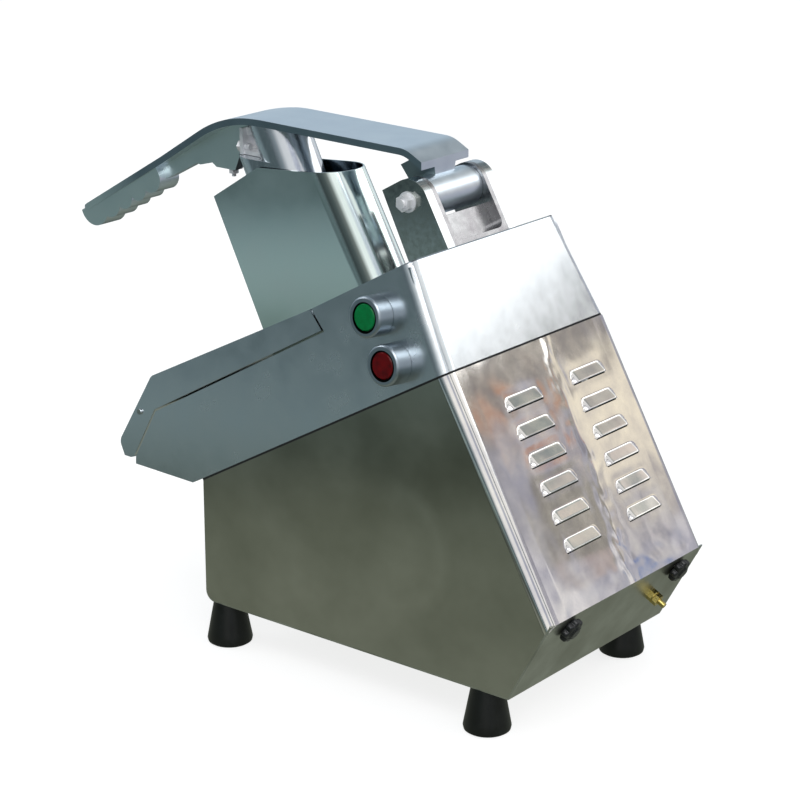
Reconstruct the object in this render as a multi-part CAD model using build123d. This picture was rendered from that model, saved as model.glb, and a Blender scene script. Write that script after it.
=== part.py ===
from build123d import *
import os
from math import cos, hypot, radians, sin

os.makedirs("parts", exist_ok=True)

# Vegetable cutting machine with a sloping deck, a lever-fed hopper and a downward chute.
# Millimetres and degrees. X runs from the chute towards the louvred end, Y across the
# machine and Z up. Everything is drawn about the centre of the feet; the last lines
# move it so that the origin is the middle of the whole machine's footprint.

# Driving dimensions of the body
BODY_WIDTH = 230
BODY_FLOOR_LENGTH = 339
DECK_SLOPE = 29.3
LOUVRE_FACE_LENGTH = 220
DECK_TOP_HEIGHT = 268.5
DECK_TOP_SETBACK = 66
SHEET = 1.5
BODY_CORNER_RADIUS = 10
FLANGE = 13
LAP_GAP = 0.3
DECK_PLATE_THICKNESS = 3

# Feet
FOOT_HEIGHT = 40
FOOT_RADIUS = 20.7
FOOT_NECK_RADIUS = 14
FOOT_WEB = 12
FOOT_INSET = 16
FEET_LENGTH = 292
FEET_WIDTH = 203.4
FOOT_SCREW_RADIUS = 3
FOOT_HEAD_RADIUS = 6
CLEARANCE = 0.3

# Louvres
LOUVRE_ROWS = 6
LOUVRE_PITCH = 25.1
LOUVRE_LENGTH = 49
LOUVRE_HEIGHT = 14
LOUVRE_DEPTH = 5
LOUVRE_COLUMN_Y = 46.4
LOUVRE_SHIFT_Y = 9.6
LOUVRE_FIRST = 46.8
CREASE_RISE = 1.2
COVER_FLANGE = 26

# Head and chute, measured along the deck (u) and square to it (w)
HEAD_WALL = 4
HEAD_HEIGHT = 97
HEAD_TAPER = 0.1163
HEAD_END_RADIUS = 12
GASKET = 1.8
GASKET_WIDTH = 12
CHUTE_WALL_TOP = 74.7
CHUTE_SHOULDER_U = -346
CHUTE_TOE_TOP = (-389.7, 44.9)
CHUTE_TOE = (-392.8, 38.6)
CHUTE_HEEL_U = -327
HEAD_STEP_U = -115
HEAD_STEP_LEAN = 6
LID_POST_RADIUS = 8

# Lid
LID_GAP = 2
LID_WALL = 3.5
LID_CROWN = (-337.6, 105.6)
LID_NOSE_TOP = (-404.5, 64.6)
LID_NOSE_FOOT = (-404, 50)
LID_NOSE_LIP = (-396.7, 46)
LID_CROWN_RADIUS = 8
LID_PLATE_THICKNESS = 4
LID_SIDE_GAP = 1.3
GUARD_ROD_PLACE = (-366, 80.5)
GUARD_ROD_RADIUS = 3
GUARD_SHANK_RADIUS = 1.8
GUARD_RIVET_RADIUS = 2.6

# Hinges on the far side of the lid
HINGE_Y = 110
HINGE_KNUCKLE_RADIUS = 5.5
HINGE_PIN_RADIUS = 2.5
HINGE_LENGTH = 50
HINGE_LEAF = 2.5
HINGE_REAR_U = -116
HINGE_FRONT_U = -250
HINGE_LEAF_REACH = 50
HINGE_SCREW_RADIUS = 2
HINGE_SCREW_W = 55

# Hopper and pusher
HOPPER_RADIUS = 28.5
HOPPER_WALL = 1.5
HOPPER_CENTRE_U = -131.5
HOPPER_FRONT_U = -257
HOPPER_FRONT_LEAN = 0.051
HOPPER_FOOT_W = 72
HOPPER_RIM_Z = 424
HOPPER_RIM_REAR_Z = 431
HOPPER_RIM_PEAK_X = -168
HOPPER_RIM_REAR_X = -76
HOPPER_RIM_SLOPE = 0.634
PUSHER_RADIUS = 25.5
PUSHER_LENGTH = 75
PUSHER_REAR_U = -145
PUSHER_REFERENCE_W = 238
PUSHER_DEPTH = 160
PUSHER_TILT = 3.4
PUSHER_WALL = 2
PUSHER_SHOULDER_Z = 429.5

# Clevis and pivot
EAR_OUTER_Y = 48
EAR_THICKNESS = 15
EAR_ROUND = 20
EAR_TOP_W = 166
EAR_REAR_U = -3.5
EAR_FRONT_U = -49
EAR_LEAN = 3.4
CLEVIS_BASE = 4
CLEVIS_WEB = 6
CLEVIS_WEB_HEIGHT = 25
CLEVIS_WEB_RECESS = 11
PIVOT_U = -24
PIVOT_W = 147
PIVOT_RADIUS = 6
PIVOT_THREAD_RADIUS = 4
RUNNING_GAP = 0.05

# Lever, in the side view
LEVER_TIP = (-411, 348)
LEVER_BEND = (-204, 469.4)
LEVER_CREST = (3, 465.1)
LEVER_HEEL = (20, 456)
LEVER_BEND_RADIUS = 165
LEVER_HEEL_RADIUS = 30
LEVER_PLATE = 6
LEVER_HALF_WIDTH = EAR_OUTER_Y - EAR_THICKNESS - CLEARANCE
LEVER_WAIST_HALF_WIDTH = 15
GRIP_HALF_WIDTH = 13
LEVER_SHOULDER_X = -170
LEVER_WAIST_X = -300
LEVER_PLAN_RADIUS = 60
WEB_THICKNESS = 10
WEB_END_X = -200
WEB_FLOOR_Z = 410.5
STOP_SCREW_X = -222
STOP_SCREW_RADIUS = 2
HUB_RADIUS = 17.5
HUB_RIB_DEPTH = 9
GRIP_DEPTH = 25
GRIP_LOBE_RADII = (18, 14.5, 11, 11, 13.5)
GRIP_LOBE_PITCH = 21

# Cutting drive
DISC_U = -162
DISC_RADIUS = 98
DISC_PLATE = 3
DISC_W = 63
DISC_HUB_RADIUS = 16
BLADES = 3
BLADE_THICKNESS = 2
CHAMBER_WALL = 2.5
CHAMBER_GAP = 1.5
CHAMBER_HEIGHT = 64
EJECTOR_W = 22
EJECTOR_BLADE_HEIGHT = 22
SHAFT_RADIUS = 10
SHAFT_END_RADIUS = 6
HOUSING_RADIUS = 30
HOUSING_FLANGE_RADIUS = 46
HOUSING_FLANGE = 6
BEARING_RADIUS = 23.5
BEARING_WIDTH = 14
DRIVEN_PULLEY_RADIUS = 66
MOTOR_PULLEY_RADIUS = 16
PULLEY_WIDTH = 18
BELT_W = -54
BELT_WIDTH = 13
BELT_THICKNESS = 4
BELT_GAP = 0.3

# Motor
MOTOR_U = -62
MOTOR_RADIUS = 54
MOTOR_SHELL = 3
MOTOR_LENGTH = 136
MOTOR_TOP_W = -72
MOTOR_PLATE = 6
MOTOR_SHAFT_RADIUS = 7
ROTOR_RADIUS = 30.5
STATOR_GAP = 0.5
STATOR_LENGTH = 70
SPACER_ALONG = 46
SPACER_ACROSS = 66
SPACER_RADIUS = 7

# Buttons, knobs, terminal and gland
START_BUTTON_PLACE = (-51, 68)
STOP_BUTTON_PLACE = (-48.7, 25.6)
BEZEL_RADIUS = 17.5
BEZEL_HEIGHT = 17
BUTTON_CAP_RADIUS = 11.4
BUTTON_STEM_RADIUS = 6
BUTTON_BARREL_RADIUS = 11
BUTTON_BARREL_LENGTH = 24
KNOB_RADIUS = 11.5
KNOB_HEIGHT = 9.5
KNOB_LOBES = 8
KNOB_SPREAD_Y = 82
KNOB_UP_PANEL = 73
STUD_RADIUS = 4
TERMINAL_Y = 60
TERMINAL_UP_PANEL = 50
TERMINAL_RADIUS = 3
TERMINAL_END_RADIUS = 2.6
TERMINAL_NUT_TOP = 10.4
TERMINAL_REACH = 17
GLAND_Y = 70
GLAND_Z = 70
GLAND_BORE_RADIUS = 4.5
GLAND_THREAD_RADIUS = 8
HEAD_SCREW_RADIUS = 3
HEAD_SCREW_END_INSET = 24
HEAD_SCREW_CHUTE_INSET = 35
HEAD_SCREW_SPREAD = 83

# Places worked out from the driving dimensions
SLOPE = radians(DECK_SLOPE)
HALF_WIDTH = BODY_WIDTH / 2
BACK_X = -FEET_LENGTH / 2 - FOOT_INSET
FLOOR_END_X = BACK_X + BODY_FLOOR_LENGTH
DECK_TOP_X = FLOOR_END_X - DECK_TOP_SETBACK
DECK_TOP_Z = FOOT_HEIGHT + DECK_TOP_HEIGHT
DECK_LENGTH = (DECK_TOP_X - BACK_X) / cos(SLOPE)
BACK_TOP_Z = DECK_TOP_Z - DECK_LENGTH * sin(SLOPE)
LOUVRE_FOOT_X = DECK_TOP_X + LOUVRE_FACE_LENGTH * sin(SLOPE)
LOUVRE_FOOT_Z = DECK_TOP_Z - LOUVRE_FACE_LENGTH * cos(SLOPE)
PANEL_LENGTH = hypot(LOUVRE_FOOT_X - FLOOR_END_X, LOUVRE_FOOT_Z - FOOT_HEIGHT)
PANEL_COS = (LOUVRE_FOOT_X - FLOOR_END_X) / PANEL_LENGTH
PANEL_SIN = (LOUVRE_FOOT_Z - FOOT_HEIGHT) / PANEL_LENGTH
DECK_PLATE_TOP = -SHEET
DECK_PLATE_FLOOR = DECK_PLATE_TOP - DECK_PLATE_THICKNESS
HEAD_FLOOR_TOP = GASKET + HEAD_WALL
LID_TOP_SLOPE = (LID_CROWN[1] - HEAD_HEIGHT) / (HEAD_STEP_U - HEAD_STEP_LEAN - LID_GAP - LID_CROWN[0])
UPRIGHT = (Align.CENTER, Align.CENTER, Align.MIN)

# The deck's own frame: local x is u, local z is w, and the origin is the deck's top edge
DECK = Plane(
    origin=(DECK_TOP_X, 0, DECK_TOP_Z), x_dir=(cos(SLOPE), 0, sin(SLOPE)), z_dir=(-sin(SLOPE), 0, cos(SLOPE))
).location

# Corners of the body in the side view, anticlockwise from the back of the floor
BODY_CORNERS = [
    (BACK_X, FOOT_HEIGHT),
    (FLOOR_END_X, FOOT_HEIGHT),
    (LOUVRE_FOOT_X, LOUVRE_FOOT_Z),
    (DECK_TOP_X, DECK_TOP_Z),
    (BACK_X, BACK_TOP_Z),
]

# Corners of the head in the deck's side view, anticlockwise from the foot of the end wall
HEAD_CORNERS = [
    (0, GASKET),
    (0, HEAD_HEIGHT),
    (HEAD_STEP_U - HEAD_STEP_LEAN, HEAD_HEIGHT),
    (HEAD_STEP_U, CHUTE_WALL_TOP),
    (CHUTE_SHOULDER_U, CHUTE_WALL_TOP),
    CHUTE_TOE_TOP,
    CHUTE_TOE,
    (CHUTE_HEEL_U, GASKET),
]

nodes = {}


# Shared shapes


def slab(corners, y_low, y_high):
    """A flat outline drawn in the X-Z plane, carried from y_low to y_high."""
    outline = Polyline(*[(a, y_low, b) for a, b in corners], close=True)
    return extrude(make_face(outline), amount=y_high - y_low, dir=(0, 1, 0))


def block(x_low, x_high, y_low, y_high, z_low, z_high):
    """A rectangular block between two corners."""
    size = Box(x_high - x_low, y_high - y_low, z_high - z_low, align=(Align.MIN, Align.MIN, Align.MIN))
    return Pos(x_low, y_low, z_low) * size


def rod(x, y, z_low, z_high, radius):
    """An upright round rod."""
    return Pos(x, y, z_low) * Cylinder(radius, z_high - z_low, align=UPRIGHT)


def cross_rod(x, z, y_low, y_high, radius):
    """A round rod that runs across the machine."""
    start = Plane(origin=(x, y_low, z), x_dir=(1, 0, 0), z_dir=(0, 1, 0)).location
    return start * Cylinder(radius, y_high - y_low, align=UPRIGHT)


def long_rod(y, z, x_low, x_high, radius):
    """A round rod that runs along X."""
    start = Plane(origin=(x_low, y, z), x_dir=(0, 1, 0), z_dir=(1, 0, 0)).location
    return start * Cylinder(radius, x_high - x_low, align=UPRIGHT)


def ring(x, y, z_low, z_high, outer, inner):
    """An upright tube."""
    return rod(x, y, z_low, z_high, outer) - rod(x, y, z_low - 1, z_high + 1, inner)


def turned(x, y, profile):
    """A solid of revolution about an upright axis from a list of radii and heights."""
    outline = Polyline(*[(radius, 0, height) for radius, height in profile], close=True)
    return Pos(x, y, 0) * revolve(make_face(outline), Axis.Z)


def hexagon(x, y, z_low, z_high, across_flats, bore=0):
    """An upright hexagon head, or a nut where it has a bore."""
    shape = extrude(RegularPolygon(across_flats / 2, 6, major_radius=False), amount=z_high - z_low)
    if bore:
        shape -= rod(0, 0, -1, z_high - z_low + 1, bore)
    return Pos(x, y, z_low) * shape


def socket_screw(x, y, seat, length, radius):
    """An upright cap screw with its head above the seat and its shank below."""
    head = rod(x, y, seat, seat + 2 * radius, 1.7 * radius)
    head -= hexagon(x, y, seat + radius, seat + 2 * radius + 1, 1.7 * radius)
    return head + rod(x, y, seat - length, seat, radius)


def inset(corners, depths):
    """The outline with each side moved inwards by its own depth."""
    sides = []
    for index, (x1, z1) in enumerate(corners):
        x2, z2 = corners[(index + 1) % len(corners)]
        length = hypot(x2 - x1, z2 - z1)
        across = (z1 - z2) / length
        along = (x2 - x1) / length
        sides.append((across, along, across * x1 + along * z1 + depths[index]))
    moved = []
    for index, (a2, b2, c2) in enumerate(sides):
        a1, b1, c1 = sides[index - 1]
        scale = a1 * b2 - a2 * b1
        moved.append(((c1 * b2 - c2 * b1) / scale, (a1 * c2 - a2 * c1) / scale))
    return moved


def cross_edge(shape, place):
    """The edge across the machine that lies nearest a point of the side view."""
    return shape.edges().filter_by(Axis.Y).sort_by_distance((place[0], 0, place[1]))[0]


def head_half_width(w):
    """Half the head's outer width at a height above the deck."""
    return HALF_WIDTH - HEAD_TAPER * w


def tapered(depth, u_low, u_high, w_low, w_high):
    """A block in the deck's frame inside the head's leaning side faces by a depth."""
    low = head_half_width(w_low) - depth
    high = head_half_width(w_high) - depth
    ends = [(-low, w_low), (low, w_low), (high, w_high), (-high, w_high)]
    outline = Polyline(*[(u_low, y, w) for y, w in ends], close=True)
    return extrude(make_face(outline), amount=u_high - u_low, dir=(1, 0, 0))


def side_point(u, w):
    """The point of the side view at distances along and above the deck."""
    x = DECK_TOP_X + u * cos(SLOPE) - w * sin(SLOPE)
    z = DECK_TOP_Z + u * sin(SLOPE) + w * cos(SLOPE)
    return x, z


def panel_place(up, y):
    """A place on the slanting lower panel, looking out of it."""
    x = FLOOR_END_X + up * PANEL_COS
    z = FOOT_HEIGHT + up * PANEL_SIN
    return Plane(origin=(x, y, z), x_dir=(0, 1, 0), z_dir=(PANEL_SIN, 0, -PANEL_COS)).location


def wall_place(place):
    """A place on the near leaning face of the head, looking out of it."""
    u, w = place
    return DECK * Plane(origin=(u, -head_half_width(w), w), x_dir=(1, 0, 0), z_dir=(0, -1, HEAD_TAPER)).location


# Body: folded floor pan, side and back walls, louvred cover


def rounded_body(depth, half_width):
    """The body's outer form moved inwards by a depth, with its rounded lower back edge."""
    corners = inset(BODY_CORNERS, [depth] * len(BODY_CORNERS))
    solid = slab(corners, -half_width, half_width)
    return fillet(cross_edge(solid, corners[0]), BODY_CORNER_RADIUS - depth)


def side_strip(side, depth, corners):
    """A sheet outline that lies inside one side wall by a depth."""
    outer = side * (HALF_WIDTH - depth)
    inner = side * (HALF_WIDTH - depth - SHEET)
    return slab(corners, min(outer, inner), max(outer, inner))


def make_base_pan():
    """Floor and slanting panel folded from one sheet, with upstands inside the side walls."""
    bend_top = FOOT_HEIGHT + BODY_CORNER_RADIUS
    lower_part = [
        (BACK_X - 5, FOOT_HEIGHT - 5),
        (LOUVRE_FOOT_X + 5, FOOT_HEIGHT - 5),
        (LOUVRE_FOOT_X, LOUVRE_FOOT_Z - LAP_GAP),
        (LOUVRE_FOOT_X - 4 * SHEET, LOUVRE_FOOT_Z - LAP_GAP),
        (FLOOR_END_X - 4 * SHEET, bend_top),
        (BACK_X - 5, bend_top),
    ]
    skin = rounded_body(0, HALF_WIDTH) - rounded_body(SHEET, HALF_WIDTH + 1)
    pan = skin & slab(lower_part, -HALF_WIDTH, HALF_WIDTH)
    inside = inset(BODY_CORNERS, [SHEET, SHEET, COVER_FLANGE, 0, BODY_CORNER_RADIUS])
    above = inset(BODY_CORNERS, [SHEET + FLANGE, SHEET + FLANGE, -50, -50, -50])
    for side in (-1, 1):
        pan += side_strip(side, SHEET, inside) - slab(above, -HALF_WIDTH, HALF_WIDTH)
    for x, y in foot_centres():
        pan -= rod(x, y, FOOT_HEIGHT - 1, FOOT_HEIGHT + SHEET + 1, FOOT_SCREW_RADIUS + CLEARANCE)
    for side in (-1, 1):
        pan -= panel_place(KNOB_UP_PANEL, side * KNOB_SPREAD_Y) * rod(0, 0, -5, 5, STUD_RADIUS + CLEARANCE)
    return pan - panel_place(TERMINAL_UP_PANEL, TERMINAL_Y) * rod(0, 0, -5, 5, TERMINAL_RADIUS + CLEARANCE)


def cover_channel(depth, u_low, w_low):
    """The louvred cover's rounded channel, moved inwards by a depth."""
    half = HALF_WIDTH - depth
    solid = block(u_low - BODY_CORNER_RADIUS, -depth, -half, half, w_low, 0)
    solid = fillet(solid.edges().filter_by(Axis.Z).group_by(Axis.X)[-1], BODY_CORNER_RADIUS - depth)
    return solid & block(u_low, 0, -half, half, w_low, 0)


def make_body_shell():
    """Side walls and back wall, flanged at the deck and stepped in behind the louvred cover."""
    outside = inset(BODY_CORNERS, [SHEET, SHEET, SHEET, 0, 0])
    hollow = inset(BODY_CORNERS, [-50, -50, -50, SHEET, SHEET])
    low_back = block(
        BACK_X - 1, BACK_X + BODY_CORNER_RADIUS,
        -HALF_WIDTH - 1, HALF_WIDTH + 1,
        0, FOOT_HEIGHT + BODY_CORNER_RADIUS,
    )
    shell = slab(outside, -HALF_WIDTH, HALF_WIDTH) - low_back
    shell += rounded_body(SHEET, HALF_WIDTH) & low_back
    shell -= slab(hollow, SHEET - HALF_WIDTH, HALF_WIDTH - SHEET)
    window_half = HALF_WIDTH - FLANGE
    shell -= DECK * block(FLANGE - DECK_LENGTH, 50, -window_half, window_half, -5, 5)
    lap = BODY_CORNER_RADIUS + LAP_GAP
    shell -= DECK * block(-lap, 50, -HALF_WIDTH - 1, HALF_WIDTH + 1, -LOUVRE_FACE_LENGTH - 50, 5)
    lip_low = FLANGE - LOUVRE_FACE_LENGTH
    lip = cover_channel(SHEET + LAP_GAP, -lap - FLANGE, lip_low)
    lip -= cover_channel(2 * SHEET + LAP_GAP, -lap - FLANGE - 1, lip_low - 1)
    lip &= block(-lap - FLANGE, -BODY_CORNER_RADIUS / 2, -HALF_WIDTH, HALF_WIDTH, lip_low, DECK_PLATE_FLOOR - 1)
    seam = block(-lap - FLANGE, -lap - LAP_GAP, -HALF_WIDTH, HALF_WIDTH, lip_low, DECK_PLATE_FLOOR - 1)
    seam &= block(-DECK_LENGTH, 0, -HALF_WIDTH, HALF_WIDTH, lip_low, 0)
    seam -= cover_channel(SHEET + LAP_GAP, -lap - FLANGE - 1, lip_low - 1)
    shell += DECK * (lip + seam)
    return shell - gland_place() * rod(0, 0, -5, 5, GLAND_THREAD_RADIUS + CLEARANCE)


def louvre_centres():
    """Middle of each louvre's lower lip, across and down the cover."""
    for column in (-1, 1):
        for row in range(LOUVRE_ROWS):
            yield LOUVRE_SHIFT_Y + column * LOUVRE_COLUMN_Y, -LOUVRE_FIRST - row * LOUVRE_PITCH


def louvre_hood(shrink):
    """A half hood that swells out to its open lower lip and runs off at both ends."""
    depth = LOUVRE_DEPTH - shrink
    height = LOUVRE_HEIGHT - 2 * shrink
    half = LOUVRE_LENGTH / 2 - shrink
    lip = Line((-SHEET, -half, 0), (depth, -half, 0))
    swell = ThreePointArc((depth, -half, 0), (depth * 0.72, -half, height * 0.55), (-SHEET, -half, height))
    back = Line((-SHEET, -half, height), (-SHEET, -half, 0))
    hood = extrude(make_face(Wire([lip, swell, back])), amount=2 * half, dir=(0, 1, 0))
    for end in (-1, 1):
        run_off = [(-SHEET, end * half), (depth + 1, end * half), (depth + 1, end * (half - LOUVRE_DEPTH))]
        outline = Polyline(*[(u, y, -1) for u, y in run_off], close=True)
        hood -= extrude(make_face(outline), amount=height + 2, dir=(0, 0, 1))
    return hood


def make_louvre_cover():
    """Removable end cover with rounded long edges, a raised crease and two columns of louvres."""
    length = LOUVRE_FACE_LENGTH + BODY_CORNER_RADIUS
    outer = cover_channel(0, -BODY_CORNER_RADIUS, -length)
    inner = cover_channel(SHEET, -BODY_CORNER_RADIUS - 1, -length - 1)
    crease_foot = HALF_WIDTH - BODY_CORNER_RADIUS
    ridge = [
        (-SHEET, -crease_foot),
        (0, -crease_foot),
        (CREASE_RISE, LOUVRE_SHIFT_Y),
        (0, crease_foot),
        (-SHEET, crease_foot),
    ]
    foot = Polyline(*[(u, y, -length) for u, y in ridge], close=True)
    crease = extrude(make_face(foot), amount=length, dir=(0, 0, 1))
    cover = outer - inner + crease
    for y, w in louvre_centres():
        cover += Pos(0, y, w) * louvre_hood(0)
        cover -= Pos(0, y, w - 0.1) * louvre_hood(SHEET * 0.8)
    cover = DECK * cover
    panel_back = inset(BODY_CORNERS, [-50, SHEET, -20, 0, -50])
    cover &= slab(panel_back, -HALF_WIDTH, HALF_WIDTH)
    top = inset(BODY_CORNERS, [0, SHEET, 0, 0, 0])[2]
    under = inset(BODY_CORNERS, [0, 2 * SHEET, SHEET, 0, 0])[2]
    drop = (COVER_FLANGE * PANEL_COS, COVER_FLANGE * PANEL_SIN)
    flange = [top, under, (under[0] - drop[0], under[1] - drop[1]), (top[0] - drop[0], top[1] - drop[1])]
    flange_half = HALF_WIDTH - BODY_CORNER_RADIUS
    cover += slab(flange, -flange_half, flange_half)
    for side in (-1, 1):
        cover -= panel_place(KNOB_UP_PANEL, side * KNOB_SPREAD_Y) * rod(0, 0, -9, 1, STUD_RADIUS + CLEARANCE)
    return cover


# Feet


def foot_centres():
    """The four places where a foot is screwed under the floor pan."""
    for x in (-FEET_LENGTH / 2, FEET_LENGTH / 2):
        for y in (-FEET_WIDTH / 2, FEET_WIDTH / 2):
            yield x, y


def make_foot(x, y):
    """A moulded rubber cone with a rounded rim and a sunk screw hole."""
    rim = FOOT_RADIUS / 8
    cone = turned(x, y, [
        (0, 0),
        (FOOT_RADIUS - rim, 0),
        (FOOT_RADIUS - rim / 4, rim / 2),
        (FOOT_RADIUS, 1.6 * rim),
        (FOOT_NECK_RADIUS, FOOT_HEIGHT),
        (0, FOOT_HEIGHT),
    ])
    cone -= rod(x, y, -1, FOOT_HEIGHT - FOOT_WEB, FOOT_HEAD_RADIUS + 1)
    return cone - rod(x, y, -1, FOOT_HEIGHT + 1, FOOT_SCREW_RADIUS + CLEARANCE)


def make_foot_screws():
    """Screws up through the feet and floor, each with its nut."""
    web_floor = FOOT_HEIGHT - FOOT_WEB
    nut_base = FOOT_HEIGHT + SHEET
    screws = []
    for x, y in foot_centres():
        screw = rod(x, y, web_floor - FOOT_SCREW_RADIUS, web_floor, FOOT_HEAD_RADIUS)
        screw += rod(x, y, web_floor, nut_base + 8, FOOT_SCREW_RADIUS)
        screws.append(screw + hexagon(x, y, nut_base, nut_base + 5, 10))
    return Compound(screws)


# Deck: plate under the flange, gasket, cast head and the screws that join them


def head_screw_places():
    """The four places where the head is screwed down to the deck plate."""
    for u in (-HEAD_SCREW_END_INSET, CHUTE_HEEL_U + HEAD_SCREW_CHUTE_INSET):
        for side in (-1, 1):
            yield u, side * HEAD_SCREW_SPREAD


def make_deck_plate():
    """The thick plate under the deck flange that carries the head and the drive."""
    half = HALF_WIDTH - SHEET - 1
    plate = block(SHEET - DECK_LENGTH + 1, -SHEET - 1, -half, half, DECK_PLATE_FLOOR, DECK_PLATE_TOP)
    plate = fillet(plate.edges().filter_by(Axis.Z).group_by(Axis.X)[-1], BODY_CORNER_RADIUS)
    plate -= rod(DISC_U, 0, -10, 5, HOUSING_RADIUS + CLEARANCE)
    for u, y in head_screw_places():
        plate -= rod(u, y, -10, 5, HEAD_SCREW_RADIUS + CLEARANCE)
    for u, y in spacer_places():
        plate -= rod(u, y, -10, 5, HEAD_SCREW_RADIUS + CLEARANCE)
    for u, y in housing_screw_places():
        plate -= rod(u, y, -10, 5, HEAD_SCREW_RADIUS + CLEARANCE)
    return DECK * plate


def make_head_gasket():
    """The black rubber seam between the deck flange and the head."""
    u_low = -DECK_LENGTH
    outer = block(u_low, 0, -HALF_WIDTH, HALF_WIDTH, 0, GASKET)
    outer = fillet(outer.edges().filter_by(Axis.Z).group_by(Axis.X)[-1], HEAD_END_RADIUS)
    outer &= tapered(0, -500, 0, -1, GASKET + 1)
    inner_half = HALF_WIDTH - GASKET_WIDTH
    return DECK * (outer - block(u_low + GASKET_WIDTH, -GASKET_WIDTH, -inner_half, inner_half, -1, GASKET + 1))


def make_head_housing():
    """Cast head: leaning side walls, rounded end wall, floor, chute cheeks and lid posts."""
    solid = slab(HEAD_CORNERS, -HALF_WIDTH, HALF_WIDTH) & tapered(0, -500, 0, 0, 120)
    solid = fillet(end_wall_edges(solid, 0), HEAD_END_RADIUS)
    room = tapered(HEAD_WALL, -500, -HEAD_WALL, HEAD_FLOOR_TOP, 130)
    room = fillet(end_wall_edges(room, -HEAD_WALL), HEAD_END_RADIUS - HEAD_WALL)
    room += tapered(HEAD_WALL, -500, CHUTE_HEEL_U, -5, 130)
    solid -= room
    post_top = HEAD_HEIGHT - LID_PLATE_THICKNESS - CLEARANCE
    for side in (-1, 1):
        post_y = side * (head_half_width(post_top) - HEAD_WALL - LID_POST_RADIUS / 2)
        post = rod(-HEAD_WALL - LID_POST_RADIUS / 2, post_y, GASKET, post_top, LID_POST_RADIUS)
        solid += post & tapered(HEAD_WALL / 2, -500, -HEAD_WALL / 2, 0, 130)
    solid -= rod(DISC_U, 0, -1, HEAD_FLOOR_TOP + 1, HOUSING_RADIUS + CLEARANCE)
    for u, y in head_screw_places():
        solid -= rod(u, y, -1, HEAD_FLOOR_TOP + 1, HEAD_SCREW_RADIUS + CLEARANCE)
    for u in hinge_places():
        solid -= hinge_screw_holes(u)
    solid = DECK * solid
    for place in (START_BUTTON_PLACE, STOP_BUTTON_PLACE):
        solid -= wall_place(place) * rod(0, 0, -2 * HEAD_WALL, 5, BUTTON_BARREL_RADIUS + CLEARANCE)
    return solid


def end_wall_edges(shape, u):
    """The two leaning edges where the side faces meet the face at u."""
    edges = shape.edges().filter_by(lambda edge: abs(edge.center().X - u) < 0.1 and abs(edge.center().Y) > 50)
    return edges.filter_by(lambda edge: edge.length > HEAD_HEIGHT / 2)


def make_head_screws():
    """Cap screws through the head's floor and the deck plate, each with its nut."""
    screws = []
    for u, y in head_screw_places():
        screw = socket_screw(u, y, HEAD_FLOOR_TOP, HEAD_FLOOR_TOP - DECK_PLATE_FLOOR + 8, HEAD_SCREW_RADIUS)
        screws.append(DECK * (screw + hexagon(u, y, DECK_PLATE_FLOOR - 5, DECK_PLATE_FLOOR, 10)))
    return Compound(screws)


def make_chamber_wall():
    """The rolled half wall that closes the round chamber on the side away from the chute."""
    inner = DISC_RADIUS + CHAMBER_GAP
    wall = ring(DISC_U, 0, HEAD_FLOOR_TOP, HEAD_FLOOR_TOP + CHAMBER_HEIGHT, inner + CHAMBER_WALL, inner)
    return DECK * (wall & block(DISC_U, 0, -HALF_WIDTH, HALF_WIDTH, 0, HEAD_HEIGHT))


# Lid, outlet rod and hinges


def lid_top(u):
    """Height of the lid's sloping top above the deck."""
    return HEAD_HEIGHT + LID_TOP_SLOPE * (HEAD_STEP_U - HEAD_STEP_LEAN - LID_GAP - u)


def make_lid():
    """Lid with a skirt over the chute and a plate let in between the head's walls."""
    start_u = HEAD_STEP_U + 5
    form = [
        (start_u, CHUTE_WALL_TOP - 15),
        (start_u, lid_top(start_u)),
        LID_CROWN,
        LID_NOSE_TOP,
        LID_NOSE_FOOT,
        LID_NOSE_LIP,
        (CHUTE_TOE_TOP[0] + 5, CHUTE_TOE_TOP[1] - 1),
    ]
    solid = slab(form, -HALF_WIDTH, HALF_WIDTH) - slab(inset(HEAD_CORNERS, [-LID_GAP] * 8), -HALF_WIDTH, HALF_WIDTH)
    solid &= tapered(0, -500, 0, 0, 120)
    solid = fillet(cross_edge(solid, LID_CROWN), LID_CROWN_RADIUS)
    solid = fillet(cross_edge(solid, LID_NOSE_TOP), LID_CROWN_RADIUS)
    step = HEAD_STEP_U - HEAD_STEP_LEAN - LID_GAP - LID_WALL
    nose_u = LID_NOSE_FOOT[0]
    cavity = [(step, 0), (step, lid_top(step)), LID_CROWN, LID_NOSE_TOP, (nose_u, 0)]
    cavity = inset(cavity, [0, LID_WALL, LID_WALL, LID_WALL, 0])
    solid -= slab(cavity, -HALF_WIDTH, HALF_WIDTH) & tapered(LID_WALL, -500, 0, -10, 120)
    plate_half = head_half_width(HEAD_HEIGHT) - HEAD_WALL - LID_SIDE_GAP
    plate_floor = HEAD_HEIGHT - LID_PLATE_THICKNESS
    plate = block(step + LID_WALL / 2, -HEAD_WALL - LID_SIDE_GAP, -plate_half, plate_half, plate_floor, HEAD_HEIGHT)
    corners = plate.edges().filter_by(Axis.Z).group_by(Axis.X)[-1]
    solid += fillet(corners, HEAD_END_RADIUS - HEAD_WALL - LID_SIDE_GAP / 2)
    solid -= hopper_form(CLEARANCE / 2, HEAD_HEIGHT / 2, 2 * HEAD_HEIGHT)
    for u, y in clevis_screw_places():
        solid -= rod(u, y, HEAD_HEIGHT - 9, HEAD_HEIGHT + 1, HEAD_SCREW_RADIUS + CLEARANCE)
    rod_u, rod_w = GUARD_ROD_PLACE
    solid -= cross_rod(rod_u, rod_w, -HALF_WIDTH, HALF_WIDTH, GUARD_SHANK_RADIUS + RUNNING_GAP)
    return DECK * solid


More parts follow.
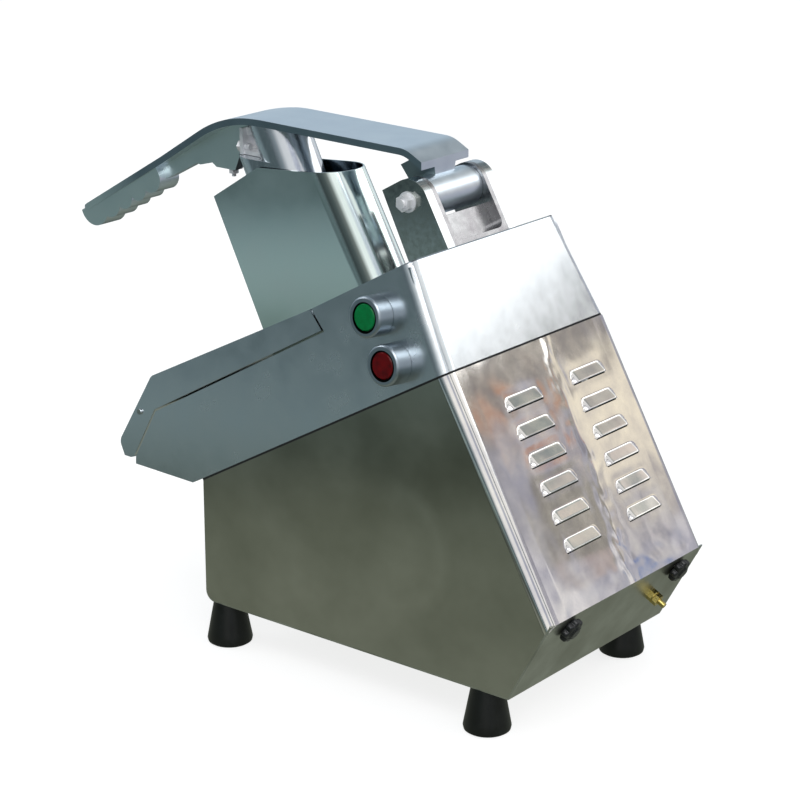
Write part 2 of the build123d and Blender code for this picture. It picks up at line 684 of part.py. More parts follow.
def make_guard_rod():
    """The rod across the outlet, riveted over outside both cheeks of the lid's nose."""
    u, w = GUARD_ROD_PLACE
    inner = head_half_width(w) - LID_WALL - 2 * CLEARANCE
    outer = head_half_width(w) + GUARD_RIVET_RADIUS * HEAD_TAPER + RUNNING_GAP
    guard = cross_rod(u, w, -inner, inner, GUARD_ROD_RADIUS)
    guard += cross_rod(u, w, -outer, outer, GUARD_SHANK_RADIUS)
    for side in (-1, 1):
        rivet = sorted([side * outer, side * (outer + GUARD_RIVET_RADIUS / 2)])
        guard += cross_rod(u, w, *rivet, GUARD_RIVET_RADIUS)
    return DECK * guard


def hinge_places():
    """The low end of each hinge along the deck."""
    return (HINGE_REAR_U, HINGE_FRONT_U)


def hinge_knuckle(u_low, u_high):
    """One knuckle of a hinge, bored for its pin."""
    knuckle = long_rod(HINGE_Y, HEAD_HEIGHT, u_low, u_high, HINGE_KNUCKLE_RADIUS)
    return knuckle - long_rod(HINGE_Y, HEAD_HEIGHT, u_low - 1, u_high + 1, HINGE_PIN_RADIUS + RUNNING_GAP)


def make_head_hinge_leaves():
    """Leaves on the head's far wall, each with the two outer knuckles."""
    third = HINGE_LENGTH / 4
    leaves = []
    for u in hinge_places():
        w_low = HEAD_HEIGHT - HINGE_LEAF_REACH
        leaf = tapered(-CLEARANCE - HINGE_LEAF, u, u + HINGE_LENGTH, w_low, HEAD_HEIGHT)
        leaf -= tapered(-CLEARANCE, u - 1, u + HINGE_LENGTH + 1, w_low - 1, HEAD_HEIGHT + 1)
        leaf &= block(u, u + HINGE_LENGTH, 0, HINGE_Y, w_low, HEAD_HEIGHT)
        low, high = u + third - CLEARANCE, u + HINGE_LENGTH - third + CLEARANCE
        middle = long_rod(HINGE_Y, HEAD_HEIGHT, low, high, HINGE_KNUCKLE_RADIUS + 1)
        leaf -= middle
        leaf += hinge_knuckle(u, u + third - CLEARANCE)
        leaf += hinge_knuckle(u + HINGE_LENGTH - third + CLEARANCE, u + HINGE_LENGTH)
        leaf -= long_rod(HINGE_Y, HEAD_HEIGHT, u - 1, u + HINGE_LENGTH + 1, HINGE_PIN_RADIUS + RUNNING_GAP)
        leaf -= hinge_screw_holes(u)
        leaves.append(DECK * leaf)
    return Compound(leaves)


def hinge_screw_offsets():
    """Where a leaf's two screws lie along it."""
    return (HINGE_LENGTH / 4, 3 * HINGE_LENGTH / 4)


def make_lid_hinge_leaves():
    """Leaves on top of the lid, each with the middle knuckle."""
    third = HINGE_LENGTH / 4
    leaves = []
    for u in hinge_places():
        low, high = u + third, u + HINGE_LENGTH - third
        level = HEAD_HEIGHT if u == HINGE_REAR_U else None
        floor_low = (level or lid_top(u)) + CLEARANCE
        floor_high = (level or lid_top(u + HINGE_LENGTH)) + CLEARANCE
        outline = [
            (u, floor_low),
            (u + HINGE_LENGTH, floor_high),
            (u + HINGE_LENGTH, floor_high + HINGE_LEAF),
            (u, floor_low + HINGE_LEAF),
        ]
        leaf = slab(outline, HINGE_Y - HINGE_LEAF_REACH, HINGE_Y)
        for gap in ((u - 1, low), (high, u + HINGE_LENGTH + 1)):
            leaf -= block(*gap, HINGE_Y - HINGE_KNUCKLE_RADIUS - 1, HINGE_Y + 1, HEAD_HEIGHT, HEAD_HEIGHT + 30)
        leaf -= long_rod(HINGE_Y, HEAD_HEIGHT, low, high, HINGE_KNUCKLE_RADIUS - 1)
        leaf += hinge_knuckle(low, high)
        leaves.append(DECK * leaf)
    return Compound(leaves)


def make_hinge_pins():
    """The pins through both hinges."""
    pins = []
    for u in hinge_places():
        pins.append(DECK * long_rod(HINGE_Y, HEAD_HEIGHT, u - 1, u + HINGE_LENGTH + 1, HINGE_PIN_RADIUS))
    return Compound(pins)


def hinge_screw_holes(u):
    """Holes for a leaf's two screws, through the leaf and the head's far wall."""
    face = head_half_width(HINGE_SCREW_W)
    holes = []
    for offset in hinge_screw_offsets():
        holes.append(cross_rod(u + offset, HINGE_SCREW_W, face - 10, face + 10, HINGE_SCREW_RADIUS + RUNNING_GAP))
    return holes


def make_hinge_screws():
    """Screws that hold the leaves to the head's far wall."""
    screws = []
    seat = head_half_width(HINGE_SCREW_W) + CLEARANCE + HINGE_LEAF + 1.8 * HINGE_SCREW_RADIUS * HEAD_TAPER
    for u in hinge_places():
        for offset in hinge_screw_offsets():
            shank = cross_rod(u + offset, HINGE_SCREW_W, seat - HINGE_LEAF - HEAD_WALL, seat, HINGE_SCREW_RADIUS)
            head = cross_rod(u + offset, HINGE_SCREW_W, seat, seat + 1.6, 1.8 * HINGE_SCREW_RADIUS)
            screws.append(DECK * (shank + head))
    return Compound(screws)


# Hopper and pusher


def hopper_front(w):
    """Where the hopper's front wall stands along the deck."""
    return HOPPER_FRONT_U + HOPPER_FRONT_LEAN * (w - HEAD_HEIGHT)


def hopper_form(grow, w_low, w_high):
    """The hopper's outer form grown by a distance: round at the rear, square in front."""
    radius = HOPPER_RADIUS + grow
    form = rod(HOPPER_CENTRE_U, 0, w_low, w_high, radius)
    form += block(2 * HOPPER_FRONT_U, HOPPER_CENTRE_U, -radius, radius, w_low, w_high)
    front = [
        (hopper_front(w_low) - grow, w_low),
        (0, w_low),
        (0, w_high),
        (hopper_front(w_high) - grow, w_high),
    ]
    return form & slab(front, -HALF_WIDTH, HALF_WIDTH)


def make_hopper():
    """Thin folded feed tube with a level rear rim and a rim that falls away to the front."""
    tube = hopper_form(0, HOPPER_FOOT_W, 3 * HEAD_HEIGHT)
    tube -= hopper_form(-HOPPER_WALL, HOPPER_FOOT_W - 1, 3 * HEAD_HEIGHT + 1)
    front_x = HOPPER_RIM_PEAK_X - 100
    top = 2 * HOPPER_RIM_Z
    rim_slope = (HOPPER_RIM_REAR_Z - HOPPER_RIM_Z) / (HOPPER_RIM_REAR_X - HOPPER_RIM_PEAK_X)
    above_rim = [
        (front_x, HOPPER_RIM_Z - 100 * HOPPER_RIM_SLOPE),
        (HOPPER_RIM_PEAK_X, HOPPER_RIM_Z),
        (HOPPER_RIM_REAR_X + 50, HOPPER_RIM_REAR_Z + 50 * rim_slope),
        (HOPPER_RIM_REAR_X + 50, top),
        (front_x, top),
    ]
    return DECK * tube - slab(above_rim, -HALF_WIDTH, HALF_WIDTH)


def pusher_form(shrink, depth):
    """The long rounded plunger, moved inwards by a distance, in its own tilted frame."""
    radius = PUSHER_RADIUS - shrink
    offset = PUSHER_LENGTH / 2 - PUSHER_RADIUS
    form = rod(-offset, 0, -depth, PUSHER_DEPTH, radius) + rod(offset, 0, -depth, PUSHER_DEPTH, radius)
    form += block(-offset, offset, -radius, radius, -depth, PUSHER_DEPTH)
    return form


def make_pusher():
    """Hollow plunger with rounded ends; its rear half rises as a tube to the lever's plate."""
    place = DECK * Pos(PUSHER_REAR_U - PUSHER_LENGTH / 2, 0, PUSHER_REFERENCE_W) * Rot(0, PUSHER_TILT, 0)
    offset = PUSHER_LENGTH / 2 - PUSHER_RADIUS

    def form(shrink):
        shoulder = block(-500, 100, -HALF_WIDTH, HALF_WIDTH, 0, PUSHER_SHOULDER_Z - shrink)
        low = place * pusher_form(shrink, PUSHER_DEPTH - shrink) & shoulder
        neck = place * rod(offset, 0, -PUSHER_DEPTH / 2, PUSHER_DEPTH, PUSHER_RADIUS - shrink)
        return low + (neck & below_lever(LEVER_PLATE + CLEARANCE / 2 + shrink))

    return form(0) - form(PUSHER_WALL)


# Clevis, pivot and lever


def clevis_screw_places():
    """The four places where the clevis is screwed to the lid."""
    for u in (EAR_FRONT_U + 8, EAR_REAR_U - 8):
        for side in (-1, 1):
            yield u, side * (EAR_OUTER_Y - EAR_THICKNESS / 2)


def make_clevis():
    """Casting with two rounded ears, a base and a web behind the lever's hub."""
    ear = [
        (EAR_FRONT_U, HEAD_HEIGHT),
        (EAR_REAR_U, HEAD_HEIGHT),
        (EAR_REAR_U, EAR_TOP_W),
        (EAR_FRONT_U + EAR_LEAN, EAR_TOP_W),
    ]
    solid = slab(ear, -EAR_OUTER_Y, EAR_OUTER_Y)
    solid = fillet(cross_edge(solid, ear[2]), EAR_ROUND)
    inner = EAR_OUTER_Y - EAR_THICKNESS
    gap = block(EAR_FRONT_U - 1, EAR_REAR_U + 1, -inner, inner, HEAD_HEIGHT + CLEVIS_BASE, EAR_TOP_W + 1)
    gap = fillet(gap.edges().filter_by(Axis.X).group_by(Axis.Z)[0], EAR_THICKNESS / 2)
    solid -= gap
    web_u = EAR_REAR_U - CLEVIS_WEB_RECESS
    web_top = HEAD_HEIGHT + CLEVIS_BASE + CLEVIS_WEB_HEIGHT
    solid += block(web_u - CLEVIS_WEB, web_u, -inner - 1, inner + 1, HEAD_HEIGHT, web_top)
    solid -= cross_rod(PIVOT_U, PIVOT_W, -EAR_OUTER_Y - 1, EAR_OUTER_Y + 1, PIVOT_RADIUS + RUNNING_GAP)
    for u, y in clevis_screw_places():
        solid -= rod(u, y, HEAD_HEIGHT - 1, HEAD_HEIGHT + 12, HEAD_SCREW_RADIUS + CLEARANCE)
    return DECK * solid


def make_clevis_screws():
    """Screws up through the lid into the feet of the ears."""
    screws = []
    seat = HEAD_HEIGHT - LID_PLATE_THICKNESS
    for u, y in clevis_screw_places():
        head = hexagon(u, y, seat - 4, seat, 10)
        screws.append(DECK * (head + rod(u, y, seat, HEAD_HEIGHT + 11, HEAD_SCREW_RADIUS)))
    return Compound(screws)


def make_pivot_bolt():
    """Shouldered bolt through both ears, its head on the far side and its thread on the near."""
    bolt = cross_rod(PIVOT_U, PIVOT_W, -EAR_OUTER_Y, EAR_OUTER_Y, PIVOT_RADIUS)
    bolt += cross_rod(PIVOT_U, PIVOT_W, EAR_OUTER_Y, EAR_OUTER_Y + 7, 1.6 * PIVOT_RADIUS)
    return DECK * (bolt + cross_rod(PIVOT_U, PIVOT_W, -EAR_OUTER_Y - 11, -EAR_OUTER_Y, PIVOT_THREAD_RADIUS))


def make_pivot_nut():
    """Washer and nut on the pivot bolt's near end."""
    place = Plane(origin=(PIVOT_U, -EAR_OUTER_Y, PIVOT_W), x_dir=(1, 0, 0), z_dir=(0, -1, 0)).location
    washer = ring(0, 0, 0.1, 1.8, 9, PIVOT_THREAD_RADIUS + RUNNING_GAP)
    nut = hexagon(0, 0, 1.9, 8.5, 13, PIVOT_THREAD_RADIUS + RUNNING_GAP)
    return Compound([DECK * place * washer, DECK * place * nut])


def below_lever(drop):
    """Everything under the lever's top line lowered by a drop."""
    floor = LEVER_TIP[1] / 2
    corners = [(LEVER_TIP[0], floor), (LEVER_HEEL[0], floor), LEVER_HEEL, LEVER_CREST, LEVER_BEND, LEVER_TIP]
    corners = inset(corners, [0, 0, drop, drop, drop, 0])
    solid = slab(corners, -HALF_WIDTH, HALF_WIDTH)
    solid = fillet(cross_edge(solid, corners[3]), LEVER_HEEL_RADIUS - drop)
    return fillet(cross_edge(solid, corners[4]), LEVER_BEND_RADIUS - drop)


def lever_plan():
    """The lever seen from above: wide over the hub, waisted, and narrow at the grip."""
    half = [
        (LEVER_TIP[0], GRIP_HALF_WIDTH),
        (LEVER_WAIST_X, LEVER_WAIST_HALF_WIDTH),
        (LEVER_SHOULDER_X, LEVER_HALF_WIDTH),
        (LEVER_HEEL[0] + 1, LEVER_HALF_WIDTH),
    ]
    outline = [(x, -y) for x, y in half] + [(x, y) for x, y in reversed(half)]
    plan = extrude(make_face(Polyline(*outline, close=True)), amount=2 * LEVER_TIP[1])
    uprights = plan.edges().filter_by(Axis.Z)
    shoulders = uprights.filter_by(lambda edge: LEVER_TIP[0] + 5 < edge.center().X < LEVER_HEEL[0] - 5)
    plan = fillet(shoulders, LEVER_PLAN_RADIUS)
    return fillet(plan.edges().filter_by(Axis.Z).group_by(Axis.X)[0], GRIP_HALF_WIDTH * 0.8)


def grip_frame():
    """Frame at the lever's tip with x along its straight top line."""
    run = LEVER_BEND[0] - LEVER_TIP[0]
    rise = LEVER_BEND[1] - LEVER_TIP[1]
    return Plane(origin=(LEVER_TIP[0], 0, LEVER_TIP[1]), x_dir=(run, 0, rise), z_dir=(-rise, 0, run)).location


def make_lever():
    """Cast lever: curved plate, tapering web, finger grip, rib and hub."""
    lever = (below_lever(0) - below_lever(LEVER_PLATE)) & lever_plan()
    grip = block(8, 115, -GRIP_HALF_WIDTH, GRIP_HALF_WIDTH, -GRIP_DEPTH * 0.6, -LEVER_PLATE / 2)
    for index, radius in enumerate(GRIP_LOBE_RADII):
        along = GRIP_LOBE_RADII[0] + index * GRIP_LOBE_PITCH
        grip += cross_rod(along, radius - GRIP_DEPTH, -GRIP_HALF_WIDTH, GRIP_HALF_WIDTH, radius)
    under_plate = below_lever(LEVER_PLATE / 2)
    lever += grip_frame() * grip & under_plate
    web = [
        (-318, 384),
        (-299, 392),
        (-264, 410.5),
        (-259, 409.8),
        (-244, 413.8),
        (-239, WEB_FLOOR_Z),
        (-216, WEB_FLOOR_Z),
        (-208, PUSHER_SHOULDER_Z + CLEARANCE),
        (WEB_END_X, PUSHER_SHOULDER_Z + CLEARANCE),
        (WEB_END_X, 2 * PUSHER_SHOULDER_Z),
        (-318, 2 * PUSHER_SHOULDER_Z),
    ]
    lever += slab(web, -WEB_THICKNESS / 2, WEB_THICKNESS / 2) & under_plate
    lever -= rod(STOP_SCREW_X, 0, 0, PUSHER_SHOULDER_Z, STOP_SCREW_RADIUS + RUNNING_GAP)
    pivot_x, pivot_z = side_point(PIVOT_U, PIVOT_W)
    rib_floor = LEVER_CREST[1] - LEVER_PLATE - HUB_RIB_DEPTH
    rib = [
        (pivot_x - 130, LEVER_CREST[1]),
        (pivot_x - 20, rib_floor),
        (pivot_x, rib_floor),
        (pivot_x, 2 * rib_floor),
        (pivot_x - 130, 2 * rib_floor),
    ]
    lever += slab(rib, -WEB_THICKNESS / 2, WEB_THICKNESS / 2) & under_plate
    arm_sides = [
        (-HUB_RADIUS / 2, PIVOT_W - HUB_RADIUS / 2),
        (HUB_RADIUS / 2, PIVOT_W - HUB_RADIUS / 2),
        (HUB_RADIUS, PIVOT_W + 2 * HUB_RADIUS),
        (-HUB_RADIUS, PIVOT_W + 2 * HUB_RADIUS),
    ]
    arm = Polyline(*[(PIVOT_U - HUB_RADIUS, y, w) for y, w in arm_sides], close=True)
    arm = extrude(make_face(arm), amount=2 * HUB_RADIUS, dir=(1, 0, 0))
    lever += DECK * arm & under_plate
    lever += cross_rod(pivot_x, pivot_z, -LEVER_HALF_WIDTH, LEVER_HALF_WIDTH, HUB_RADIUS)
    return lever - cross_rod(pivot_x, pivot_z, -HALF_WIDTH, HALF_WIDTH, PIVOT_RADIUS + RUNNING_GAP)


def bracket_bolt_places():
    """Places of the two bolts that hold the pusher's bracket."""
    for side in (-1, 1):
        yield side * 11, PUSHER_SHOULDER_Z + 7


def make_pusher_bracket():
    """End plate across the web with a lug that reaches back to the pusher's tube."""
    base = PUSHER_SHOULDER_Z + CLEARANCE
    plate = block(WEB_END_X + CLEARANCE, WEB_END_X + 4, -16, 16, base, base + 24)
    plate += block(WEB_END_X + 3, WEB_END_X + 45, -14, 14, base, base + 4)
    plate += block(WEB_END_X + 3, WEB_END_X + 40, -10, 10, base + 17, base + 24)
    place = DECK * Pos(PUSHER_REAR_U - PUSHER_LENGTH / 2, 0, PUSHER_REFERENCE_W) * Rot(0, PUSHER_TILT, 0)
    offset = PUSHER_LENGTH / 2 - PUSHER_RADIUS
    plate -= place * rod(offset, 0, -PUSHER_DEPTH, PUSHER_DEPTH, PUSHER_RADIUS + CLEARANCE)
    for y, z in bracket_bolt_places():
        plate -= long_rod(y, z, WEB_END_X - 5, WEB_END_X + 10, HEAD_SCREW_RADIUS + RUNNING_GAP)
    return plate & below_lever(LEVER_PLATE + RUNNING_GAP)


def make_pusher_bolts():
    """Two bolts through the end plate and a locking nut under the lug."""
    bolts = []
    for y, z in bracket_bolt_places():
        head = Plane(origin=(WEB_END_X + CLEARANCE, y, z), x_dir=(0, 1, 0), z_dir=(-1, 0, 0)).location
        bolt = head * hexagon(0, 0, 0, 4, 10)
        bolts.append(bolt + long_rod(y, z, WEB_END_X + CLEARANCE, WEB_END_X + 9, HEAD_SCREW_RADIUS))
    return Compound(bolts)


def make_stop_screw():
    """Adjusting screw through the lever's web, with its lock nut below."""
    screw = rod(STOP_SCREW_X, 0, WEB_FLOOR_Z - 7, PUSHER_SHOULDER_Z - 2, STOP_SCREW_RADIUS)
    return screw + hexagon(STOP_SCREW_X, 0, WEB_FLOOR_Z - 4, WEB_FLOOR_Z, 8)


# Cutting drive


def make_disc():
    """Slicing disc with a slot under each blade and a hub on the shaft's shoulder."""
    disc = rod(DISC_U, 0, DISC_W, DISC_W + DISC_PLATE, DISC_RADIUS)
    disc += rod(DISC_U, 0, DISC_W - 5, DISC_W + 0.5, DISC_HUB_RADIUS)
    for index in range(BLADES):
        turn = Pos(DISC_U, 0, 0) * Rot(0, 0, index * 360 / BLADES)
        disc -= turn * block(DISC_HUB_RADIUS + 8, DISC_RADIUS - 8, -6, 6, DISC_W - 1, DISC_W + DISC_PLATE + 1)
        for along in blade_screw_offsets():
            disc -= turn * rod(along, 11, DISC_W - 1, DISC_W + DISC_PLATE + 1, 2 + RUNNING_GAP)
    return DECK * (disc - rod(DISC_U, 0, 0, HEAD_HEIGHT, SHAFT_END_RADIUS + RUNNING_GAP))


def blade_screw_offsets():
    """Distances of a blade's two screws from the disc's centre."""
    return (DISC_HUB_RADIUS + 18, DISC_RADIUS - 18)


def make_blades():
    """Slicing blades with a bevelled edge that overhangs each slot."""
    blades = []
    top = DISC_W + DISC_PLATE
    for index in range(BLADES):
        turn = Pos(DISC_U, 0, 0) * Rot(0, 0, index * 360 / BLADES)
        edge = [(16, top), (16, top + BLADE_THICKNESS), (2, top + BLADE_THICKNESS), (-1, top + 0.3), (-1, top)]
        outline = Polyline(*[(DISC_HUB_RADIUS + 6, y, w) for y, w in edge], close=True)
        blade = extrude(make_face(outline), amount=DISC_RADIUS - DISC_HUB_RADIUS - 12, dir=(1, 0, 0))
        for along in blade_screw_offsets():
            blade -= rod(along, 11, top - 1, top + BLADE_THICKNESS + 1, 2 + RUNNING_GAP)
        blades.append(DECK * turn * blade)
    return Compound(blades)


def make_blade_screws():
    """Flat screws that hold the blades to the disc."""
    screws = []
    top = DISC_W + DISC_PLATE + BLADE_THICKNESS
    for index in range(BLADES):
        turn = Pos(DISC_U, 0, 0) * Rot(0, 0, index * 360 / BLADES)
        for along in blade_screw_offsets():
            screw = rod(along, 11, DISC_W, top, 2) + rod(along, 11, top, top + 1, 3.5)
            screws.append(DECK * turn * screw)
    return Compound(screws)


def make_ejector():
    """Ejector plate under the disc with curved paddles that throw the slices to the chute."""
    plate = rod(DISC_U, 0, EJECTOR_W, EJECTOR_W + DISC_PLATE, DISC_RADIUS - 3)
    plate += rod(DISC_U, 0, EJECTOR_W, EJECTOR_W + EJECTOR_BLADE_HEIGHT, SHAFT_RADIUS + 8)
    reach = DISC_RADIUS - 6
    bow = ring(reach / 2, -reach / 2, 0, EJECTOR_BLADE_HEIGHT, reach / 2 * 1.42, reach / 2 * 1.42 - 3)
    bow &= block(0, reach, 0, reach, 0, EJECTOR_BLADE_HEIGHT) & rod(0, 0, 0, EJECTOR_BLADE_HEIGHT, reach)
    for index in range(4):
        plate += Pos(DISC_U, 0, EJECTOR_W) * Rot(0, 0, index * 90) * bow
    return DECK * (plate - rod(DISC_U, 0, 0, HEAD_HEIGHT, SHAFT_RADIUS + RUNNING_GAP))


def make_shaft():
    """Stepped upright shaft from the driven pulley to the disc's nut."""
    low = BELT_W - PULLEY_WIDTH / 2
    top = DISC_W - 5
    shaft = rod(DISC_U, 0, low, top, SHAFT_RADIUS)
    return DECK * (shaft + rod(DISC_U, 0, top, DISC_W + DISC_PLATE + 4, SHAFT_END_RADIUS))


def make_disc_nut():
    """Low round nut that clamps the disc."""
    base = DISC_W + DISC_PLATE
    nut = rod(DISC_U, 0, base, base + 4.5, 13) - rod(DISC_U, 0, base - 1, base + 4.1, SHAFT_END_RADIUS + RUNNING_GAP)
    for side in (-1, 1):
        nut -= rod(DISC_U + side * 9, 0, base + 2, base + 5, 1.6)
    return DECK * nut


def bearing_seats():
    """The low face of the lower and the upper bearing."""
    return (-HOUSING_RADIUS - 4, 1)


def make_bearing_housing():
    """Flanged housing hung through the deck, bored from both ends for its bearings."""
    low, high = bearing_seats()
    floor = low - 2
    top = HEAD_FLOOR_TOP + BEARING_WIDTH
    housing = rod(DISC_U, 0, floor, top, HOUSING_RADIUS)
    housing += rod(DISC_U, 0, DECK_PLATE_FLOOR - HOUSING_FLANGE, DECK_PLATE_FLOOR, HOUSING_FLANGE_RADIUS)
    housing -= rod(DISC_U, 0, floor - 1, low + BEARING_WIDTH, BEARING_RADIUS + RUNNING_GAP)
    housing -= rod(DISC_U, 0, high, top + 1, BEARING_RADIUS + RUNNING_GAP)
    housing -= rod(DISC_U, 0, floor, top, BEARING_RADIUS - 5)
    for u, y in housing_screw_places():
        housing -= rod(u, y, -20, 0, HEAD_SCREW_RADIUS + CLEARANCE)
    return DECK * housing


def make_bearings():
    """Deep-groove bearings: an outer ring, an inner ring and a shield between them."""
    bearings = []
    for low in bearing_seats():
        race = ring(DISC_U, 0, low, low + BEARING_WIDTH, BEARING_RADIUS, SHAFT_RADIUS + RUNNING_GAP)
        middle = (BEARING_RADIUS + SHAFT_RADIUS) / 2
        for face in (low - 1, low + BEARING_WIDTH - 0.8):
            race -= ring(DISC_U, 0, face, face + 1.8, middle + 3.5, middle - 3.5)
        bearings.append(DECK * race)
    return Compound(bearings)


def make_shaft_seal():
    """Lip seal over the upper bearing."""
    low = bearing_seats()[1] + BEARING_WIDTH + CLEARANCE
    seal = ring(DISC_U, 0, low, low + 4.2, BEARING_RADIUS, SHAFT_RADIUS + CLEARANCE)
    return DECK * (seal - ring(DISC_U, 0, low + 2, low + 5, BEARING_RADIUS - 3, SHAFT_RADIUS + 4))


def housing_screw_places():
    """The four places of the bearing housing's screws."""
    reach = (HOUSING_RADIUS + HOUSING_FLANGE_RADIUS) / 2 / 2 ** 0.5
    for along in (-reach, reach):
        for across in (-reach, reach):
            yield DISC_U + along, across


def make_housing_screws():
    """Screws up through the housing's flange and the deck plate."""
    screws = []
    seat = DECK_PLATE_FLOOR - HOUSING_FLANGE
    for u, y in housing_screw_places():
        head = hexagon(u, y, seat - 4, seat, 10)
        screws.append(DECK * (head + rod(u, y, seat, DECK_PLATE_TOP, HEAD_SCREW_RADIUS)))
    return Compound(screws)


def pulley(u, radius, bore):
    """Flat-groove pulley with two cheeks that guide the belt."""
    low = BELT_W - PULLEY_WIDTH / 2
    high = BELT_W + PULLEY_WIDTH / 2
    groove = BELT_WIDTH / 2 + 0.5
    rim = radius + BELT_THICKNESS * 0.7
    wheel = turned(u, 0, [
        (bore, low),
        (rim, low),
        (radius, BELT_W - groove),
        (radius, BELT_W + groove),
        (rim, high),
        (bore, high),
    ])
    return wheel


def make_driven_pulley():
    """Large pulley with a dished web and four lightening holes."""
    wheel = pulley(DISC_U, DRIVEN_PULLEY_RADIUS, SHAFT_RADIUS + RUNNING_GAP)
    high = BELT_W + PULLEY_WIDTH / 2
    hub = SHAFT_RADIUS + 10
    rim_inside = DRIVEN_PULLEY_RADIUS - 8
    wheel -= ring(DISC_U, 0, BELT_W + 2, high + 1, rim_inside, hub)
    for index in range(4):
        turn = Pos(DISC_U, 0, 0) * Rot(0, 0, 45 + index * 90)
        wheel -= turn * rod((hub + rim_inside) / 2, 0, BELT_W - PULLEY_WIDTH, high + 1, 11)
    return DECK * wheel


def make_belt():
    """The belt's closed loop round both pulleys."""
    low = BELT_W - BELT_WIDTH / 2
    high = BELT_W + BELT_WIDTH / 2

    def loop(grow, z_low, z_high):
        big = DRIVEN_PULLEY_RADIUS + BELT_GAP + grow
        small = MOTOR_PULLEY_RADIUS + BELT_GAP + grow
        distance = MOTOR_U - DISC_U
        lean = (big - small) / distance
        rise = (1 - lean * lean) ** 0.5
        corners = [
            (DISC_U + big * lean, big * rise),
            (MOTOR_U + small * lean, small * rise),
            (MOTOR_U + small * lean, -small * rise),
            (DISC_U + big * lean, -big * rise),
        ]
        sides = Polyline(*[(u, y, z_low) for u, y in corners], close=True)
        web = extrude(make_face(sides), amount=z_high - z_low, dir=(0, 0, 1))
        return web + rod(DISC_U, 0, z_low, z_high, big) + rod(MOTOR_U, 0, z_low, z_high, small)

    return DECK * (loop(BELT_THICKNESS, low, high) - loop(0, low - 1, high + 1))


# Motor


def spacer_places():
    """The four places where the motor bracket hangs from the deck plate."""
    for along in (-SPACER_ALONG, SPACER_ALONG):
        for across in (-SPACER_ACROSS, SPACER_ACROSS):
            yield MOTOR_U + along, across


def make_motor_bracket():
    """Plate that hangs from the deck and carries the motor's flange."""
    top = MOTOR_TOP_W + MOTOR_PLATE
    edge = SPACER_RADIUS + 4
    plate = block(
        MOTOR_U - SPACER_ALONG - edge, MOTOR_U + SPACER_ALONG + edge,
        -SPACER_ACROSS - edge, SPACER_ACROSS + edge,
        MOTOR_TOP_W, top,
    )
    plate = fillet(plate.edges().filter_by(Axis.Z), edge)
    plate -= rod(MOTOR_U, 0, MOTOR_TOP_W - 1, top + 1, MOTOR_PULLEY_RADIUS)
    for u, y in spacer_places():
        plate -= rod(u, y, MOTOR_TOP_W - 1, top + 1, HEAD_SCREW_RADIUS + CLEARANCE)
    return DECK * plate


def make_spacers():
    """Spacer tubes with their through screws between the deck plate and the bracket."""
    spacers = []
    top = MOTOR_TOP_W + MOTOR_PLATE
    for u, y in spacer_places():
        spacer = rod(u, y, top, DECK_PLATE_FLOOR, SPACER_RADIUS)
        spacer += rod(u, y, MOTOR_TOP_W, DECK_PLATE_TOP, HEAD_SCREW_RADIUS)
        spacers.append(DECK * (spacer + hexagon(u, y, MOTOR_TOP_W - 5, MOTOR_TOP_W, 10)))
    return Compound(spacers)


def make_motor_body():
    """Ribbed motor shell and its two end covers."""
    low = MOTOR_TOP_W - MOTOR_LENGTH
    inner = MOTOR_RADIUS - 2 * MOTOR_SHELL
    shell = ring(MOTOR_U, 0, low + MOTOR_PLATE, MOTOR_TOP_W - MOTOR_PLATE, MOTOR_RADIUS - MOTOR_SHELL, inner)
    for index in range(24):
        turn = Pos(MOTOR_U, 0, 0) * Rot(0, 0, index * 15)
        fin = block(inner + 1, MOTOR_RADIUS, -1, 1, low + 5 * MOTOR_PLATE, MOTOR_TOP_W - 3 * MOTOR_PLATE)
        shell += turn * fin
    bore = MOTOR_SHAFT_RADIUS + CLEARANCE
    top_cover = ring(MOTOR_U, 0, MOTOR_TOP_W - MOTOR_PLATE, MOTOR_TOP_W, MOTOR_RADIUS, bore)
    low_cover = ring(MOTOR_U, 0, low, low + MOTOR_PLATE, MOTOR_RADIUS, bore)
    return Compound([DECK * shell, DECK * top_cover, DECK * low_cover])


def stator_low():
    """The low face of the stator stack and of the rotor."""
    return MOTOR_TOP_W - MOTOR_LENGTH / 2 - STATOR_LENGTH / 2


def make_stator():
    """Laminated stator ring seated in the shell, with its windings at both ends."""
    low = stator_low()
    inner = ROTOR_RADIUS + STATOR_GAP
    outer = MOTOR_RADIUS - 2 * MOTOR_SHELL - RUNNING_GAP
    stack = ring(MOTOR_U, 0, low, low + STATOR_LENGTH, outer, inner)
    winding = ring(MOTOR_U, 0, low - 12, low + STATOR_LENGTH + 12, outer - 4, inner + 3)
    return DECK * (stack + winding)


def make_rotor():
    """Rotor on its shaft, from the fan up to the small pulley."""
    low = stator_low()
    rotor = rod(MOTOR_U, 0, low, low + STATOR_LENGTH, ROTOR_RADIUS)
    shaft_low = MOTOR_TOP_W - MOTOR_LENGTH + 1
    return DECK * (rotor + rod(MOTOR_U, 0, shaft_low, BELT_W + PULLEY_WIDTH / 2, MOTOR_SHAFT_RADIUS))


def make_fan():
    """Fan inside the motor's low end, seven blades on a hub."""
    low = MOTOR_TOP_W - MOTOR_LENGTH + MOTOR_PLATE + 1
    fan = ring(MOTOR_U, 0, low, low + 10, MOTOR_SHAFT_RADIUS + 6, MOTOR_SHAFT_RADIUS + RUNNING_GAP)
    for index in range(7):
        turn = Pos(MOTOR_U, 0, 0) * Rot(0, 0, index * 360 / 7)
        fan += turn * block(MOTOR_SHAFT_RADIUS + 5, ROTOR_RADIUS + 8, -1, 1, low, low + 10)
    return DECK * fan


# Electrical pieces


